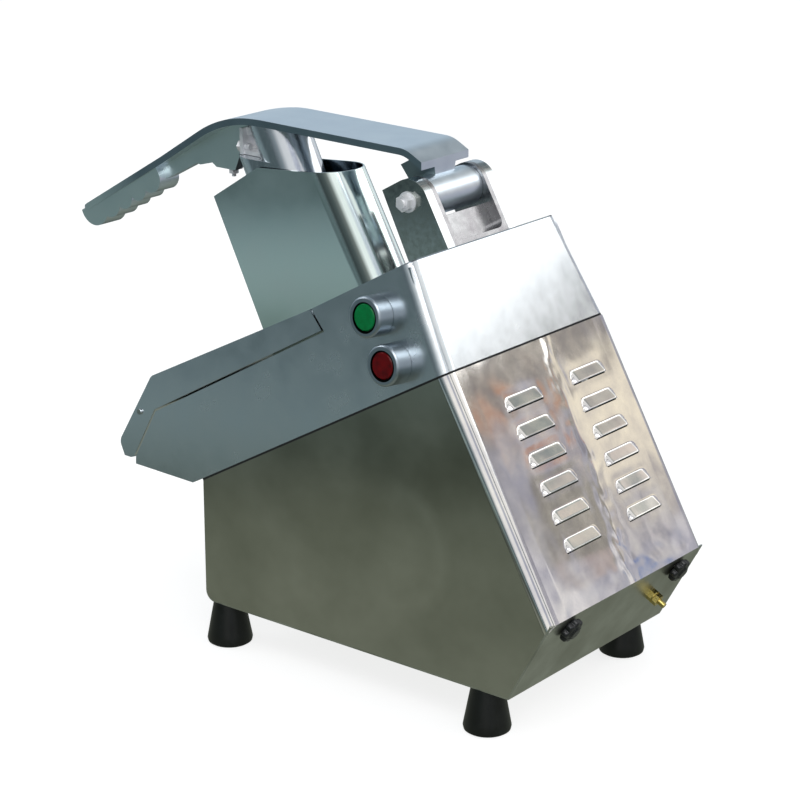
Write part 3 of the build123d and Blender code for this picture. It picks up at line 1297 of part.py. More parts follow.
def make_capacitor():
    """Run capacitor lying in its clip on the floor pan."""
    radius = 18
    x, z = -30, FOOT_HEIGHT + SHEET + radius + 2
    can = cross_rod(x, z, -70, 10, radius) + cross_rod(x, z, 10, 16, 5)
    return can + block(x - 14, x + 14, -45, -15, FOOT_HEIGHT + SHEET, z - 10)


def make_contactor():
    """Contactor on its rail on the floor pan."""
    floor = FOOT_HEIGHT + SHEET
    case = block(-130, -85, -60, 0, floor + 6, floor + 70)
    case += block(-122, -93, -68, 8, floor, floor + 6)
    for index in range(4):
        case -= rod(-121 + index * 9, -56, floor + 60, floor + 71, 2.5)
    return case


def make_interlock_switch():
    """Lid switch fixed to the inside of the head's end wall."""
    top = HEAD_HEIGHT - LID_PLATE_THICKNESS - 6
    face = -HEAD_WALL - RUNNING_GAP
    return DECK * block(face - 16, face, 55, 80, top - 26, top)


def make_lid_magnet():
    """Magnet under the lid's plate over the switch."""
    seat = HEAD_HEIGHT - LID_PLATE_THICKNESS
    return DECK * block(-HEAD_WALL - 15, -HEAD_WALL - 3, 58, 77, seat - 5, seat)


def make_bezel():
    """Push-button body: polished bezel outside, threaded barrel through the wall."""
    bezel = rod(0, 0, RUNNING_GAP, BEZEL_HEIGHT, BEZEL_RADIUS)
    bezel = chamfer(bezel.edges().group_by(Axis.Z)[-1], 1.6)
    bezel -= rod(0, 0, 3, BEZEL_HEIGHT + 1, BUTTON_CAP_RADIUS + CLEARANCE)
    bezel += rod(0, 0, -BUTTON_BARREL_LENGTH, 1, BUTTON_BARREL_RADIUS)
    return bezel - rod(0, 0, -BUTTON_BARREL_LENGTH - 1, 5, BUTTON_STEM_RADIUS + CLEARANCE)


def make_button():
    """Domed cap with its stem down the barrel."""
    cap = rod(0, 0, BEZEL_HEIGHT - 6, BEZEL_HEIGHT, BUTTON_CAP_RADIUS)
    cap = chamfer(cap.edges().group_by(Axis.Z)[-1], 0.8)
    return cap + rod(0, 0, 4 - BUTTON_BARREL_LENGTH, BEZEL_HEIGHT - 5, BUTTON_STEM_RADIUS)


def make_button_nut():
    """Ring nut that clamps the button against the inside of the wall."""
    return hexagon(0, 0, -HEAD_WALL - 6, -HEAD_WALL, 30, BUTTON_BARREL_RADIUS + RUNNING_GAP)


def make_contact_block():
    """Contact block clipped to the end of the barrel."""
    top = -BUTTON_BARREL_LENGTH
    case = block(-14, 14, -12, 12, top - 28, top)
    return case - rod(0, 0, top - 5, top + 1, BUTTON_STEM_RADIUS + CLEARANCE)


def make_knob():
    """Lobed hand knob with a raised centre and a blind bore for its stud."""
    base = CLEARANCE
    lobe = KNOB_RADIUS / 3.6
    knob = rod(0, 0, base, KNOB_HEIGHT - 1.5, KNOB_RADIUS - lobe)
    for index in range(KNOB_LOBES):
        knob += Rot(0, 0, index * 360 / KNOB_LOBES) * rod(KNOB_RADIUS - lobe, 0, base, KNOB_HEIGHT - 1.5, lobe)
    knob += rod(0, 0, base, KNOB_HEIGHT, KNOB_RADIUS / 2)
    return knob - rod(0, 0, -1, KNOB_HEIGHT - 2, STUD_RADIUS + RUNNING_GAP)


def make_knob_stud():
    """Stud clamped through the panel and the cover's flange."""
    seat = -2 * SHEET
    return rod(0, 0, seat - 2, KNOB_HEIGHT - 3, STUD_RADIUS) + rod(0, 0, seat - 4, seat, 8)


def make_earth_terminal():
    """Brass earth stud with a nut inside and a nut, washer and nut outside."""
    stud = rod(0, 0, -SHEET - 8, TERMINAL_NUT_TOP, TERMINAL_RADIUS)
    stud += rod(0, 0, TERMINAL_NUT_TOP, TERMINAL_REACH, TERMINAL_END_RADIUS)
    bore = TERMINAL_RADIUS + RUNNING_GAP
    pieces = [stud]
    pieces.append(hexagon(0, 0, -SHEET - 5, -SHEET, 10, bore))
    pieces.append(hexagon(0, 0, 0, 4.5, 10, bore))
    pieces.append(ring(0, 0, 4.6, 5.8, 6, bore))
    pieces.append(hexagon(0, 0, 5.9, TERMINAL_NUT_TOP, 10, bore))
    return Compound([panel_place(TERMINAL_UP_PANEL, TERMINAL_Y) * piece for piece in pieces])


def gland_place():
    """Place of the cable gland on the back wall, looking out of it."""
    return Plane(origin=(BACK_X, GLAND_Y, GLAND_Z), x_dir=(0, 1, 0), z_dir=(-1, 0, 0)).location


def make_cable_gland():
    """Gland in the back wall: body, domed cap and lock nut."""
    body = hexagon(0, 0, 0, 6, 22)
    body += rod(0, 0, -SHEET - 7, 0, GLAND_THREAD_RADIUS)
    dome = rod(0, 0, 5, 17, 9.5)
    body += chamfer(dome.edges().group_by(Axis.Z)[-1], 3)
    body -= rod(0, 0, -20, 20, GLAND_BORE_RADIUS)
    lock_nut = hexagon(0, 0, -SHEET - 5, -SHEET, 22, GLAND_THREAD_RADIUS + RUNNING_GAP)
    return Compound([gland_place() * body, gland_place() * lock_nut])


def make_buttons():
    """Both push buttons with everything behind them."""
    places = [wall_place(START_BUTTON_PLACE), wall_place(STOP_BUTTON_PLACE)]
    nodes["button_bezels"] = Compound([place * make_bezel() for place in places])
    nodes["start_button"] = places[0] * make_button()
    nodes["stop_button"] = places[1] * make_button()
    nodes["button_nuts"] = Compound([place * make_button_nut() for place in places])
    nodes["contact_blocks"] = Compound([place * make_contact_block() for place in places])


def make_knobs():
    """Both hand knobs and their studs."""
    near = panel_place(KNOB_UP_PANEL, -KNOB_SPREAD_Y)
    far = panel_place(KNOB_UP_PANEL, KNOB_SPREAD_Y)
    nodes["knob_near"] = near * make_knob()
    nodes["knob_far"] = far * make_knob()
    nodes["knob_studs"] = Compound([place * make_knob_stud() for place in (near, far)])


nodes["body_shell"] = make_body_shell()
nodes["base_pan"] = make_base_pan()
nodes["louvre_cover"] = make_louvre_cover()
nodes["feet"] = Compound([make_foot(x, y) for x, y in foot_centres()])
nodes["foot_screws"] = make_foot_screws()
nodes["deck_plate"] = make_deck_plate()
nodes["head_gasket"] = make_head_gasket()
nodes["head_housing"] = make_head_housing()
nodes["head_screws"] = make_head_screws()
nodes["chamber_wall"] = make_chamber_wall()
nodes["lid"] = make_lid()
nodes["outlet_guard_rod"] = make_guard_rod()
nodes["head_hinge_leaves"] = make_head_hinge_leaves()
nodes["lid_hinge_leaves"] = make_lid_hinge_leaves()
nodes["hinge_pins"] = make_hinge_pins()
nodes["hinge_screws"] = make_hinge_screws()
nodes["hopper"] = make_hopper()
nodes["pusher"] = make_pusher()
nodes["clevis"] = make_clevis()
nodes["clevis_screws"] = make_clevis_screws()
nodes["pivot_bolt"] = make_pivot_bolt()
nodes["pivot_nut"] = make_pivot_nut()
nodes["lever"] = make_lever()
nodes["pusher_bracket"] = make_pusher_bracket()
nodes["pusher_bolts"] = make_pusher_bolts()
nodes["stop_screw"] = make_stop_screw()
nodes["cutting_disc"] = make_disc()
nodes["slicing_blades"] = make_blades()
nodes["blade_screws"] = make_blade_screws()
nodes["ejector_plate"] = make_ejector()
nodes["drive_shaft"] = make_shaft()
nodes["disc_nut"] = make_disc_nut()
nodes["bearing_housing"] = make_bearing_housing()
nodes["shaft_bearings"] = make_bearings()
nodes["shaft_seal"] = make_shaft_seal()
nodes["housing_screws"] = make_housing_screws()
nodes["driven_pulley"] = make_driven_pulley()
nodes["motor_pulley"] = DECK * pulley(MOTOR_U, MOTOR_PULLEY_RADIUS, MOTOR_SHAFT_RADIUS + RUNNING_GAP)
nodes["drive_belt"] = make_belt()
nodes["motor_bracket"] = make_motor_bracket()
nodes["bracket_spacers"] = make_spacers()
nodes["motor_body"] = make_motor_body()
nodes["motor_stator"] = make_stator()
nodes["motor_rotor"] = make_rotor()
nodes["cooling_fan"] = make_fan()
nodes["run_capacitor"] = make_capacitor()
nodes["contactor"] = make_contactor()
nodes["interlock_switch"] = make_interlock_switch()
nodes["lid_magnet"] = make_lid_magnet()
nodes["earth_terminal"] = make_earth_terminal()
nodes["cable_gland"] = make_cable_gland()
make_buttons()
make_knobs()

# The origin goes to the middle of the footprint of everything
boxes = [shape.bounding_box() for shape in nodes.values()]
SHIFT_X = -(min(box.min.X for box in boxes) + max(box.max.X for box in boxes)) / 2
SHIFT_Y = -(min(box.min.Y for box in boxes) + max(box.max.Y for box in boxes)) / 2
for name, shape in nodes.items():
    export_step(Pos(SHIFT_X, SHIFT_Y, 0) * shape, f"parts/{name}.step")
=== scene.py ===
from math import cos, exp, pi, radians, sin, sqrt

import bpy
from mathutils import Matrix, Vector, noise


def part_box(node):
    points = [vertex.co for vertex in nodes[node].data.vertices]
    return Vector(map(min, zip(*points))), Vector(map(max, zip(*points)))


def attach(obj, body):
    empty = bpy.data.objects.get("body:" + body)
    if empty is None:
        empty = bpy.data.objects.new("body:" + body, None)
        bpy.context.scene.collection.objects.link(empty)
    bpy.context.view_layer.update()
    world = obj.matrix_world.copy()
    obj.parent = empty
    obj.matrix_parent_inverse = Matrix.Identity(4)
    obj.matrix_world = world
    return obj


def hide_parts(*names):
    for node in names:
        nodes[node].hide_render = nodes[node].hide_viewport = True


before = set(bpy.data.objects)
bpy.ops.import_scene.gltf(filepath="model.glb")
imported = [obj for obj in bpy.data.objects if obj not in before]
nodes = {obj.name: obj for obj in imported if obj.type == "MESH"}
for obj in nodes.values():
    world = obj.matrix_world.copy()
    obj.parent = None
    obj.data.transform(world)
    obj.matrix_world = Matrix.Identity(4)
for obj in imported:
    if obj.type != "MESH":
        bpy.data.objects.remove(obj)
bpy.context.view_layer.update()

MM = 0.001
SLOPE = radians(29.3)

# Where the middle of the four feet stands, and where the deck's top edge is from there
FEET_MIDDLE_SETBACK = 162
DECK_EDGE_X = 111
DECK_EDGE_Z = 308.5
shell_low, shell_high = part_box("body_shell")
MIDDLE = Vector((
    shell_low.x + FEET_MIDDLE_SETBACK * MM, (shell_low.y + shell_high.y) / 2, 0))
DECK_EDGE = MIDDLE + Vector((DECK_EDGE_X * MM, 0, DECK_EDGE_Z * MM))
UP_THE_DECK = (cos(SLOPE), 0, sin(SLOPE))
OFF_THE_DECK = (-sin(SLOPE), 0, cos(SLOPE))

# The slanting panel's foot, and how far a millimetre up it goes along and up
PANEL_FOOT_X = 177
PANEL_FOOT_Z = 40
PANEL_RUN = 0.478
PANEL_RISE = 0.878


def deck_point(u, y, w):
    """A place u up the deck, y across and w above it, in millimetres from the deck's top edge."""
    x = u * cos(SLOPE) - w * sin(SLOPE)
    z = u * sin(SLOPE) + w * cos(SLOPE)
    return DECK_EDGE + Vector((x, y, z)) * MM


def panel_point(up, y, depth):
    """A place up the slanting panel, y across and depth inside it, in millimetres from its foot."""
    x = PANEL_FOOT_X + up * PANEL_RUN - depth * PANEL_RISE
    z = PANEL_FOOT_Z + up * PANEL_RISE + depth * PANEL_RUN
    return MIDDLE + Vector((x, y, z)) * MM


# Colours and nodes

WHITE = (1, 1, 1, 1)
# Most of a noise pattern lies between these values
LOW_MARK = 0.3
HIGH_MARK = 0.7


def colour(hex_value):
    """Linear colour of an sRGB hex value."""
    channels = []
    for start in (1, 3, 5):
        value = int(hex_value[start:start + 2], 16) / 255
        channels.append(value / 12.92 if value <= 0.04045 else ((value + 0.055) / 1.055) ** 2.4)
    return (*channels, 1.0)


def join(tree, node, inputs):
    """Sets inputs to values, or joins them to sockets or to the first output in use of nodes."""
    pairs = inputs.items() if isinstance(inputs, dict) else enumerate(inputs)
    for name, value in pairs:
        if isinstance(value, bpy.types.Node):
            value = next(output for output in value.outputs if output.enabled)
        if isinstance(value, bpy.types.NodeSocket):
            tree.links.new(value, node.inputs[name])
        else:
            node.inputs[name].default_value = value


def add(tree, kind, inputs=(), stops=(), **settings):
    """A node with its settings and inputs, and where it is a ramp, its colour stops."""
    node = tree.nodes.new(kind)
    for name, value in settings.items():
        setattr(node, name, value)
    join(tree, node, inputs)
    if stops:
        ends = zip(node.color_ramp.elements, (stops[0], stops[-1]))
        for element, (position, value) in ends:
            element.position = position
            element.color = colour(value)
        for position, value in stops[1:-1]:
            node.color_ramp.elements.new(position).color = colour(value)
    return node


def new_material(name, base, metallic, roughness, ior=1.5):
    """A Principled material and its tree, shader and object coordinates."""
    material = bpy.data.materials.new(name)
    material.use_nodes = True
    tree = material.node_tree
    shader = tree.nodes["Principled BSDF"]
    join(tree, shader, {
        "Base Color": colour(base), "Metallic": metallic, "Roughness": roughness, "IOR": ior})
    place = add(tree, "ShaderNodeTexCoord").outputs["Object"]
    return material, tree, shader, place


def studio_material(name):
    """An empty material and its tree, for a sheet of the studio."""
    material = bpy.data.materials.new(name)
    material.use_nodes = True
    material.node_tree.nodes.clear()
    return material, material.node_tree


def pattern(tree, place, size_mm, stretch=(1, 1, 1), detail=2.0, turn=(0, 0, 0)):
    """Noise with grains size_mm across, stretched along an axis where a number is below one."""
    mapped = add(tree, "ShaderNodeMapping", {"Vector": place, "Rotation": turn, "Scale": stretch})
    return add(tree, "ShaderNodeTexNoise", {
        "Vector": mapped, "Scale": 1 / (size_mm * MM), "Detail": detail, "Roughness": 0.55})


def dapple(tree, shader, marks, tints=None, roughness=None):
    """Marks that shift a finish from one tint and one roughness to another."""
    if tints:
        stops = ((LOW_MARK, tints[0]), (HIGH_MARK, tints[1]))
        join(tree, shader, {"Base Color": add(tree, "ShaderNodeValToRGB", (marks,), stops)})
    if roughness:
        rough = add(tree, "ShaderNodeMapRange", (marks, LOW_MARK, HIGH_MARK, *roughness))
        join(tree, shader, {"Roughness": rough})


def emboss(tree, shader, *layers):
    """Heights that stand out of a finish on top of each other, each with its depth in mm."""
    under = {}
    for height, depth_mm in layers:
        bump = add(tree, "ShaderNodeBump", {"Height": height, "Distance": depth_mm * MM, **under})
        under = {"Normal": bump}
    join(tree, shader, under)


def across_middle(tree, place):
    """How far a place is from the machine's middle, to either side."""
    side = add(tree, "ShaderNodeSeparateXYZ", (place,)).outputs["Y"]
    side = add(tree, "ShaderNodeMath", (side, MIDDLE.y), operation="SUBTRACT")
    return add(tree, "ShaderNodeMath", (side,), operation="ABSOLUTE")


def facing_sideways(tree):
    """How squarely a face looks to the near or far side, from 0 to 1."""
    facing = add(tree, "ShaderNodeNewGeometry").outputs["Normal"]
    across = add(tree, "ShaderNodeSeparateXYZ", (facing,)).outputs["Y"]
    return add(tree, "ShaderNodeMath", (across,), operation="ABSOLUTE")


# Materials, and where each changes: a pair of numbers is where the change starts and ends

# The faint bright arc on the side walls: its middle from the feet's, its radius, how soft it is
# and where it fades in
ARC_MIDDLE = Vector((55 * MM, 0, 145 * MM))
ARC_RADIUS = 52 * MM
ARC_SOFTNESS = 13 * MM
ARC_FADE = (-20 * MM, 30 * MM)
# The feed tube: how far down the deck the axis of its rounded end lies, its bore, and its front
# wall up the deck
FEED_AXIS = 131.5 * MM
FEED_BORE = (27.4 * MM, 27.8 * MM)
FEED_FRONT = (-250 * MM, -245 * MM)
# How far above the deck the end face's darker top band starts
DARK_BAND_HEIGHT = (95.7 * MM, 96.1 * MM)
# How far from the middle the lever's web ends, the clevis's web ends and its outsides start
LEVER_WEB = (13.5 * MM, 14.5 * MM)
CLEVIS_WEB = (37.5 * MM, 38.5 * MM)
CLEVIS_OUTSIDE = (47.5 * MM, 47.9 * MM)
# The outer edge of the painted shade in the groove round a button's cap
CAP_GROOVE = (12.9 * MM, 13.2 * MM)


def satin_stainless_sheet():
    """Stainless sheet with a short brushed grain: soft olive grey with clouded reflections."""
    material, tree, shader, place = new_material("satin_stainless_sheet", "#adaea6", 1, 0.24)
    clouds = pattern(tree, place, 90, detail=4)
    # Each side wall gets a faint bright arc, lighter and rougher than the sheet round it.
    away = add(tree, "ShaderNodeVectorMath", (place, MIDDLE + ARC_MIDDLE), operation="SUBTRACT")
    flat = add(tree, "ShaderNodeVectorMath", (away, (1, 0, 1)), operation="MULTIPLY")
    far = add(tree, "ShaderNodeVectorMath", (flat,), operation="LENGTH")
    off = add(tree, "ShaderNodeMath", (far, ARC_RADIUS), operation="SUBTRACT")
    off = add(tree, "ShaderNodeMath", (off,), operation="ABSOLUTE")
    arc = add(tree, "ShaderNodeMapRange", (off, 0, ARC_SOFTNESS, 0.16, 0))
    along = add(tree, "ShaderNodeSeparateXYZ", (away,)).outputs["X"]
    fade = add(tree, "ShaderNodeMapRange", (along, *ARC_FADE, 0, 1))
    bright_arc = add(tree, "ShaderNodeMath", (arc, fade), operation="MULTIPLY")
    clouds = add(tree, "ShaderNodeMath", (clouds, bright_arc), operation="ADD")
    dapple(tree, shader, clouds, ("#a0a298", "#bcbdb4"), (0.19, 0.26))
    # The real grain is 0.1 mm wide; it is drawn 0.6 mm wide so that it shows.
    grain = pattern(tree, place, 0.6, stretch=(0.04, 1, 1), detail=1)
    waves = pattern(tree, place, 90, detail=0)
    emboss(tree, shader, (waves, 0.9), (grain, 0.006))
    return material


def dull_stainless_pan():
    """Unpolished stainless of the floor pan: the same sheet with its dull mill finish left on."""
    material, tree, shader, place = new_material("dull_stainless_pan", "#b4b5ae", 1, 0.34)
    clouds = pattern(tree, place, 40, detail=4)
    grain = pattern(tree, place, 0.6, stretch=(1, 0.05, 1), detail=1)
    dapple(tree, shader, clouds, ("#9a9c92", "#c4c7c0"), (0.3, 0.42))
    emboss(tree, shader, (grain, 0.006))
    return material


def polished_stainless_sheet():
    """Mirror-polished thin stainless: pressed so that its dents bend what it reflects."""
    material, tree, shader, place = new_material("polished_stainless_sheet", "#e2e0dc", 1, 0.09)
    scratches = pattern(tree, place, 1.2, stretch=(0.08, 1, 1), detail=2)
    smears = pattern(tree, place, 25, detail=3)
    dapple(tree, shader, smears, ("#d2d0d2", "#f0ede6"))
    scratched = add(tree, "ShaderNodeMapRange", (scratches, LOW_MARK, HIGH_MARK, 0.03, 0.07))
    smeared = add(tree, "ShaderNodeMapRange", (smears, LOW_MARK, HIGH_MARK, 0.02, 0.08))
    rough = add(tree, "ShaderNodeMath", (scratched, smeared), operation="ADD")
    join(tree, shader, {"Roughness": rough})
    emboss(tree, shader, (scratches, 0.002))
    return material


def polished_steel_tube():
    """Bright drawn steel: long reflections along the tube."""
    material, tree, shader, place = new_material("polished_steel_tube", "#c6cbd0", 1, 0.16)
    streaks = pattern(tree, place, 2.5, stretch=(1, 1, 0.06), detail=2, turn=(0, SLOPE, 0))
    dapple(tree, shader, streaks, roughness=(0.12, 0.22))
    emboss(tree, shader, (streaks, 0.01))
    return material


def satin_feed_sheet():
    """Fine satin stainless of the feed tube: green-grey walls that turn bright at the round end."""
    material, tree, shader, place = new_material("satin_feed_sheet", "#ecf3f1", 1, 0.2)
    clouds = pattern(tree, place, 55, detail=3)
    satin = add(tree, "ShaderNodeValToRGB", (clouds,), (
        (LOW_MARK, "#dae8e4"), (HIGH_MARK, "#e9f3f0")))
    # Painted dark reflection: a darker band beside each flat wall, where the rounded end turns into
    # it.
    sideways = facing_sideways(tree)
    into_stripe = add(tree, "ShaderNodeMapRange", (sideways, 0.8, 0.87, 0, 0.8))
    out_of_stripe = add(tree, "ShaderNodeMapRange", (sideways, 0.965, 0.985, 1, 0))
    painted_dark_band = add(tree, "ShaderNodeMath", (into_stripe, out_of_stripe), operation="MULTIPLY")
    satin = add(tree, "ShaderNodeMix", {
        "Factor": painted_dark_band, "A": satin, "B": colour("#3f4a44")}, data_type="RGBA")
    # Painted shade: the inside of the bore is painted dark, clear of the front wall.
    from_edge = add(tree, "ShaderNodeVectorMath", (place, DECK_EDGE), operation="SUBTRACT")
    along = add(tree, "ShaderNodeVectorMath", (from_edge, UP_THE_DECK), operation="DOT_PRODUCT")
    past_axis = add(tree, "ShaderNodeMath", (along, FEED_AXIS), operation="ADD")
    past_axis = add(tree, "ShaderNodeMath", (past_axis, 0.0), operation="MAXIMUM")
    side = add(tree, "ShaderNodeSeparateXYZ", (from_edge,)).outputs["Y"]
    from_axis = add(tree, "ShaderNodeCombineXYZ", (past_axis, side))
    reach = add(tree, "ShaderNodeVectorMath", (from_axis,), operation="LENGTH")
    in_bore = add(tree, "ShaderNodeMapRange", (reach, *FEED_BORE, 1, 0))
    behind_front = add(tree, "ShaderNodeMapRange", (along, *FEED_FRONT, 0, 1))
    inside = add(tree, "ShaderNodeMath", (in_bore, behind_front), operation="MULTIPLY")
    satin = add(tree, "ShaderNodeMix", {
        "Factor": inside, "A": satin, "B": colour("#46525c")}, data_type="RGBA")
    join(tree, shader, {"Base Color": satin})
    grain = pattern(tree, place, 0.7, stretch=(1, 1, 0.05), detail=1, turn=(0, SLOPE, 0))
    dapple(tree, shader, clouds, roughness=(0.12, 0.18))
    emboss(tree, shader, (grain, 0.002))
    return material


def brushed_casting():
    """Cast aluminium, brushed flat and clear-polished: satin blue-grey with faint cast mottling."""
    material, tree, shader, place = new_material("brushed_casting", "#e0e4e7", 1, 0.27)
    mottle = pattern(tree, place, 30, detail=4)
    pores = pattern(tree, place, 1.6, detail=2)
    grain = pattern(tree, place, 0.8, stretch=(0.06, 1, 1), detail=1, turn=(0, SLOPE, 0))
    # The top 1 mm of the end face is painted a darker grey.
    from_edge = add(tree, "ShaderNodeVectorMath", (place, DECK_EDGE), operation="SUBTRACT")
    height = add(tree, "ShaderNodeVectorMath", (from_edge, OFF_THE_DECK), operation="DOT_PRODUCT")
    facing = add(tree, "ShaderNodeNewGeometry").outputs["Normal"]
    endward = add(tree, "ShaderNodeVectorMath", (facing, UP_THE_DECK), operation="DOT_PRODUCT")
    at_top = add(tree, "ShaderNodeMapRange", (height, *DARK_BAND_HEIGHT, 0, 1))
    at_end = add(tree, "ShaderNodeMapRange", (endward, 0.3, 0.6, 0, 1))
    dark_top_band = add(tree, "ShaderNodeMath", (at_top, at_end), operation="MULTIPLY")
    brushed = add(tree, "ShaderNodeValToRGB", (mottle,), (
        (LOW_MARK, "#cfd5d9"), (HIGH_MARK, "#dfe4e7")))
    tint = add(tree, "ShaderNodeMix", {
        "Factor": dark_top_band, "A": brushed, "B": colour("#5d656b")}, data_type="RGBA")
    join(tree, shader, {"Base Color": tint})
    dapple(tree, shader, mottle, roughness=(0.2, 0.28))
    emboss(tree, shader, (mottle, 0.12), (pores, 0.001), (grain, 0.003))
    return material


def cast_lever_metal():
    """Shot-blasted cast aluminium: matt light blue-grey, with painted light and shade on its side
    faces.
    """
    material, tree, shader, place = new_material("cast_lever_metal", "#d2dae0", 1, 0.33)
    speckle = pattern(tree, place, 0.9, detail=3)
    patches = pattern(tree, place, 25, detail=3)
    blasted = add(tree, "ShaderNodeValToRGB", (patches,), (
        (LOW_MARK, "#ced8e1"), (HIGH_MARK, "#dbe4eb")))
    # Painted light and shade: faces that look to the side are painted lighter on the web's flanks
    # and darker on the plate's edges.
    lit_and_shaded_sides = add(tree, "ShaderNodeMapRange", (facing_sideways(tree), 0.85, 0.95, 0, 1))
    past_web = add(tree, "ShaderNodeMapRange", (across_middle(tree, place), *LEVER_WEB, 0, 1))
    ground = add(tree, "ShaderNodeValToRGB", (past_web,), ((0, "#dfecea"), (1, "#8f9fa8")))
    tint = add(tree, "ShaderNodeMix", {
        "Factor": lit_and_shaded_sides, "A": blasted, "B": ground}, data_type="RGBA")
    join(tree, shader, {"Base Color": tint})
    dapple(tree, shader, patches, roughness=(0.28, 0.38))
    emboss(tree, shader, (speckle, 0.006))
    return material


def polished_chrome():
    """Polished chrome plate: near mirror, with faint handling marks."""
    material, tree, shader, place = new_material("polished_chrome", "#d5d9dc", 1, 0.12)
    dapple(tree, shader, pattern(tree, place, 3, detail=4), roughness=(0.08, 0.2))
    return material


def satin_bezel():
    """Turned aluminium with a satin lacquer, and painted black shade in the groove between it and
    the button's cap.
    """
    material, tree, shader, place = new_material("satin_bezel", "#c3ccd3", 1, 0.34)
    rings = pattern(tree, place, 1.6, stretch=(0.06, 1, 0.06), detail=1)
    nearest = 1.0
    for cap in ("start_button", "stop_button"):
        low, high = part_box(cap)
        off = add(tree, "ShaderNodeVectorMath", (place, (low + high) / 2), operation="SUBTRACT")
        flat = add(tree, "ShaderNodeVectorMath", (off, (1, 0, 1)), operation="MULTIPLY")
        away = add(tree, "ShaderNodeVectorMath", (flat,), operation="LENGTH")
        nearest = add(tree, "ShaderNodeMath", (away, nearest), operation="MINIMUM")
    # Painted shade: the groove round each cap is painted near black.
    past_groove = add(tree, "ShaderNodeMapRange", (nearest, *CAP_GROOVE, 0, 1))
    tint = add(tree, "ShaderNodeValToRGB", (past_groove,), ((0, "#0a0c0d"), (1, "#a9b3bb")))
    join(tree, shader, {"Base Color": tint})
    dapple(tree, shader, rings, roughness=(0.28, 0.36))
    return material


def chrome_with_painted_shade():
    """Polished casting of the clevis: bright rims, flat outsides painted darker as a painted dark
    reflection, and a web painted grey as shade.
    """
    material, tree, shader, place = new_material("chrome_with_painted_shade", "#d5d9dc", 1, 0.14)
    side = across_middle(tree, place)
    marks = pattern(tree, place, 5, detail=4)
    # Painted dark reflection: the flat outsides of the ears are painted darker, unevenly.
    outside = add(tree, "ShaderNodeMapRange", (side, *CLEVIS_OUTSIDE, 0, 1))
    uneven = add(tree, "ShaderNodeMapRange", (marks, LOW_MARK, HIGH_MARK, 0.75, 1))
    painted_dark_reflection = add(tree, "ShaderNodeMath", (outside, uneven), operation="MULTIPLY")
    ears = add(tree, "ShaderNodeValToRGB", (painted_dark_reflection,), ((0, "#c6cbce"), (1, "#a2a7a1")))
    # Painted shade: the web, recessed between the ears, is painted grey.
    in_web = add(tree, "ShaderNodeMapRange", (side, *CLEVIS_WEB, 1, 0))
    blotches = pattern(tree, place, 22, detail=3)
    web = add(tree, "ShaderNodeValToRGB", (blotches,), (
        (LOW_MARK, "#8b898c"), (HIGH_MARK, "#a7a8a9")))
    # The web between the ears wasn't polished, so it is rougher by 0.14.
    polish = add(tree, "ShaderNodeMapRange", (marks, LOW_MARK, HIGH_MARK, 0.08, 0.2))
    tint = add(tree, "ShaderNodeMix", {"Factor": in_web, "A": ears, "B": web}, data_type="RGBA")
    rough = add(tree, "ShaderNodeMath", (in_web, 0.14, polish), operation="MULTIPLY_ADD")
    join(tree, shader, {"Base Color": tint, "Roughness": rough})
    return material


def zinc_fastener():
    """Zinc-plated nuts and bolts of the lever: blunt bright grey that takes light all round."""
    material, tree, shader, place = new_material("zinc_fastener", "#eef0ef", 0.45, 0.34)
    marks = pattern(tree, place, 7, detail=1)
    dapple(tree, shader, marks, ("#eaebee", "#fbfbfc"), (0.3, 0.38))
    return material


def turned_steel():
    """Turned and zinc-plated steel of screws, nuts and studs."""
    material, tree, shader, place = new_material("turned_steel", "#c9cbca", 1, 0.2)
    marks = pattern(tree, place, 1.5, detail=3)
    dapple(tree, shader, marks, ("#bfc1c0", "#d4d6d5"), (0.14, 0.22))
    return material


def machined_steel():
    """Ground carbon steel of the drive parts: darker, with a film of oil."""
    material, tree, shader, place = new_material("machined_steel", "#8f9191", 1, 0.3)
    marks = pattern(tree, place, 4, detail=4)
    dapple(tree, shader, marks, ("#7f8181", "#9a9c9b"), (0.24, 0.38))
    return material


def machined_aluminium():
    """Machined aluminium with fine tool marks."""
    material, tree, shader, place = new_material("machined_aluminium", "#c2c4c6", 1, 0.32)
    marks = pattern(tree, place, 0.8, detail=2)
    dapple(tree, shader, marks, roughness=(0.26, 0.4))
    emboss(tree, shader, (marks, 0.01))
    return material


def bright_brass():
    """Turned brass: warm yellow with a slight tarnish in the grooves."""
    material, tree, shader, place = new_material("bright_brass", "#d8c676", 1, 0.26)
    tarnish = pattern(tree, place, 2, detail=3)
    dapple(tree, shader, tarnish, ("#b9a352", "#e6d68c"), (0.35, 0.16))
    return material


def moulded_rubber():
    """Moulded black rubber: near black with a dull sheen and dust in the fine grain."""
    material, tree, shader, place = new_material("moulded_rubber", "#0b0f0e", 0, 0.34, ior=1.46)
    grain = pattern(tree, place, 0.7, detail=3)
    dust = pattern(tree, place, 12, detail=4)
    dapple(tree, shader, dust, ("#050808", "#0b100f"), (0.28, 0.42))
    emboss(tree, shader, (grain, 0.02))
    return material


def moulded_black_plastic():
    """Black moulded phenolic: glossy on its lobes, dull in the grain."""
    material, tree, shader, place = new_material("moulded_black_plastic", "#17191c", 0, 0.28)
    grain = pattern(tree, place, 0.9, detail=2)
    dapple(tree, shader, grain, roughness=(0.22, 0.36))
    emboss(tree, shader, (grain, 0.01))
    return material


def cap_plastic(name, low, high):
    """Glossy coloured cap moulding with a slightly uneven pigment."""
    material, tree, shader, place = new_material(name, high, 0, 0.3, ior=1.3)
    dapple(tree, shader, pattern(tree, place, 6, detail=2), (low, high))
    emboss(tree, shader, (pattern(tree, place, 0.8, detail=1), 0.006))
    return material


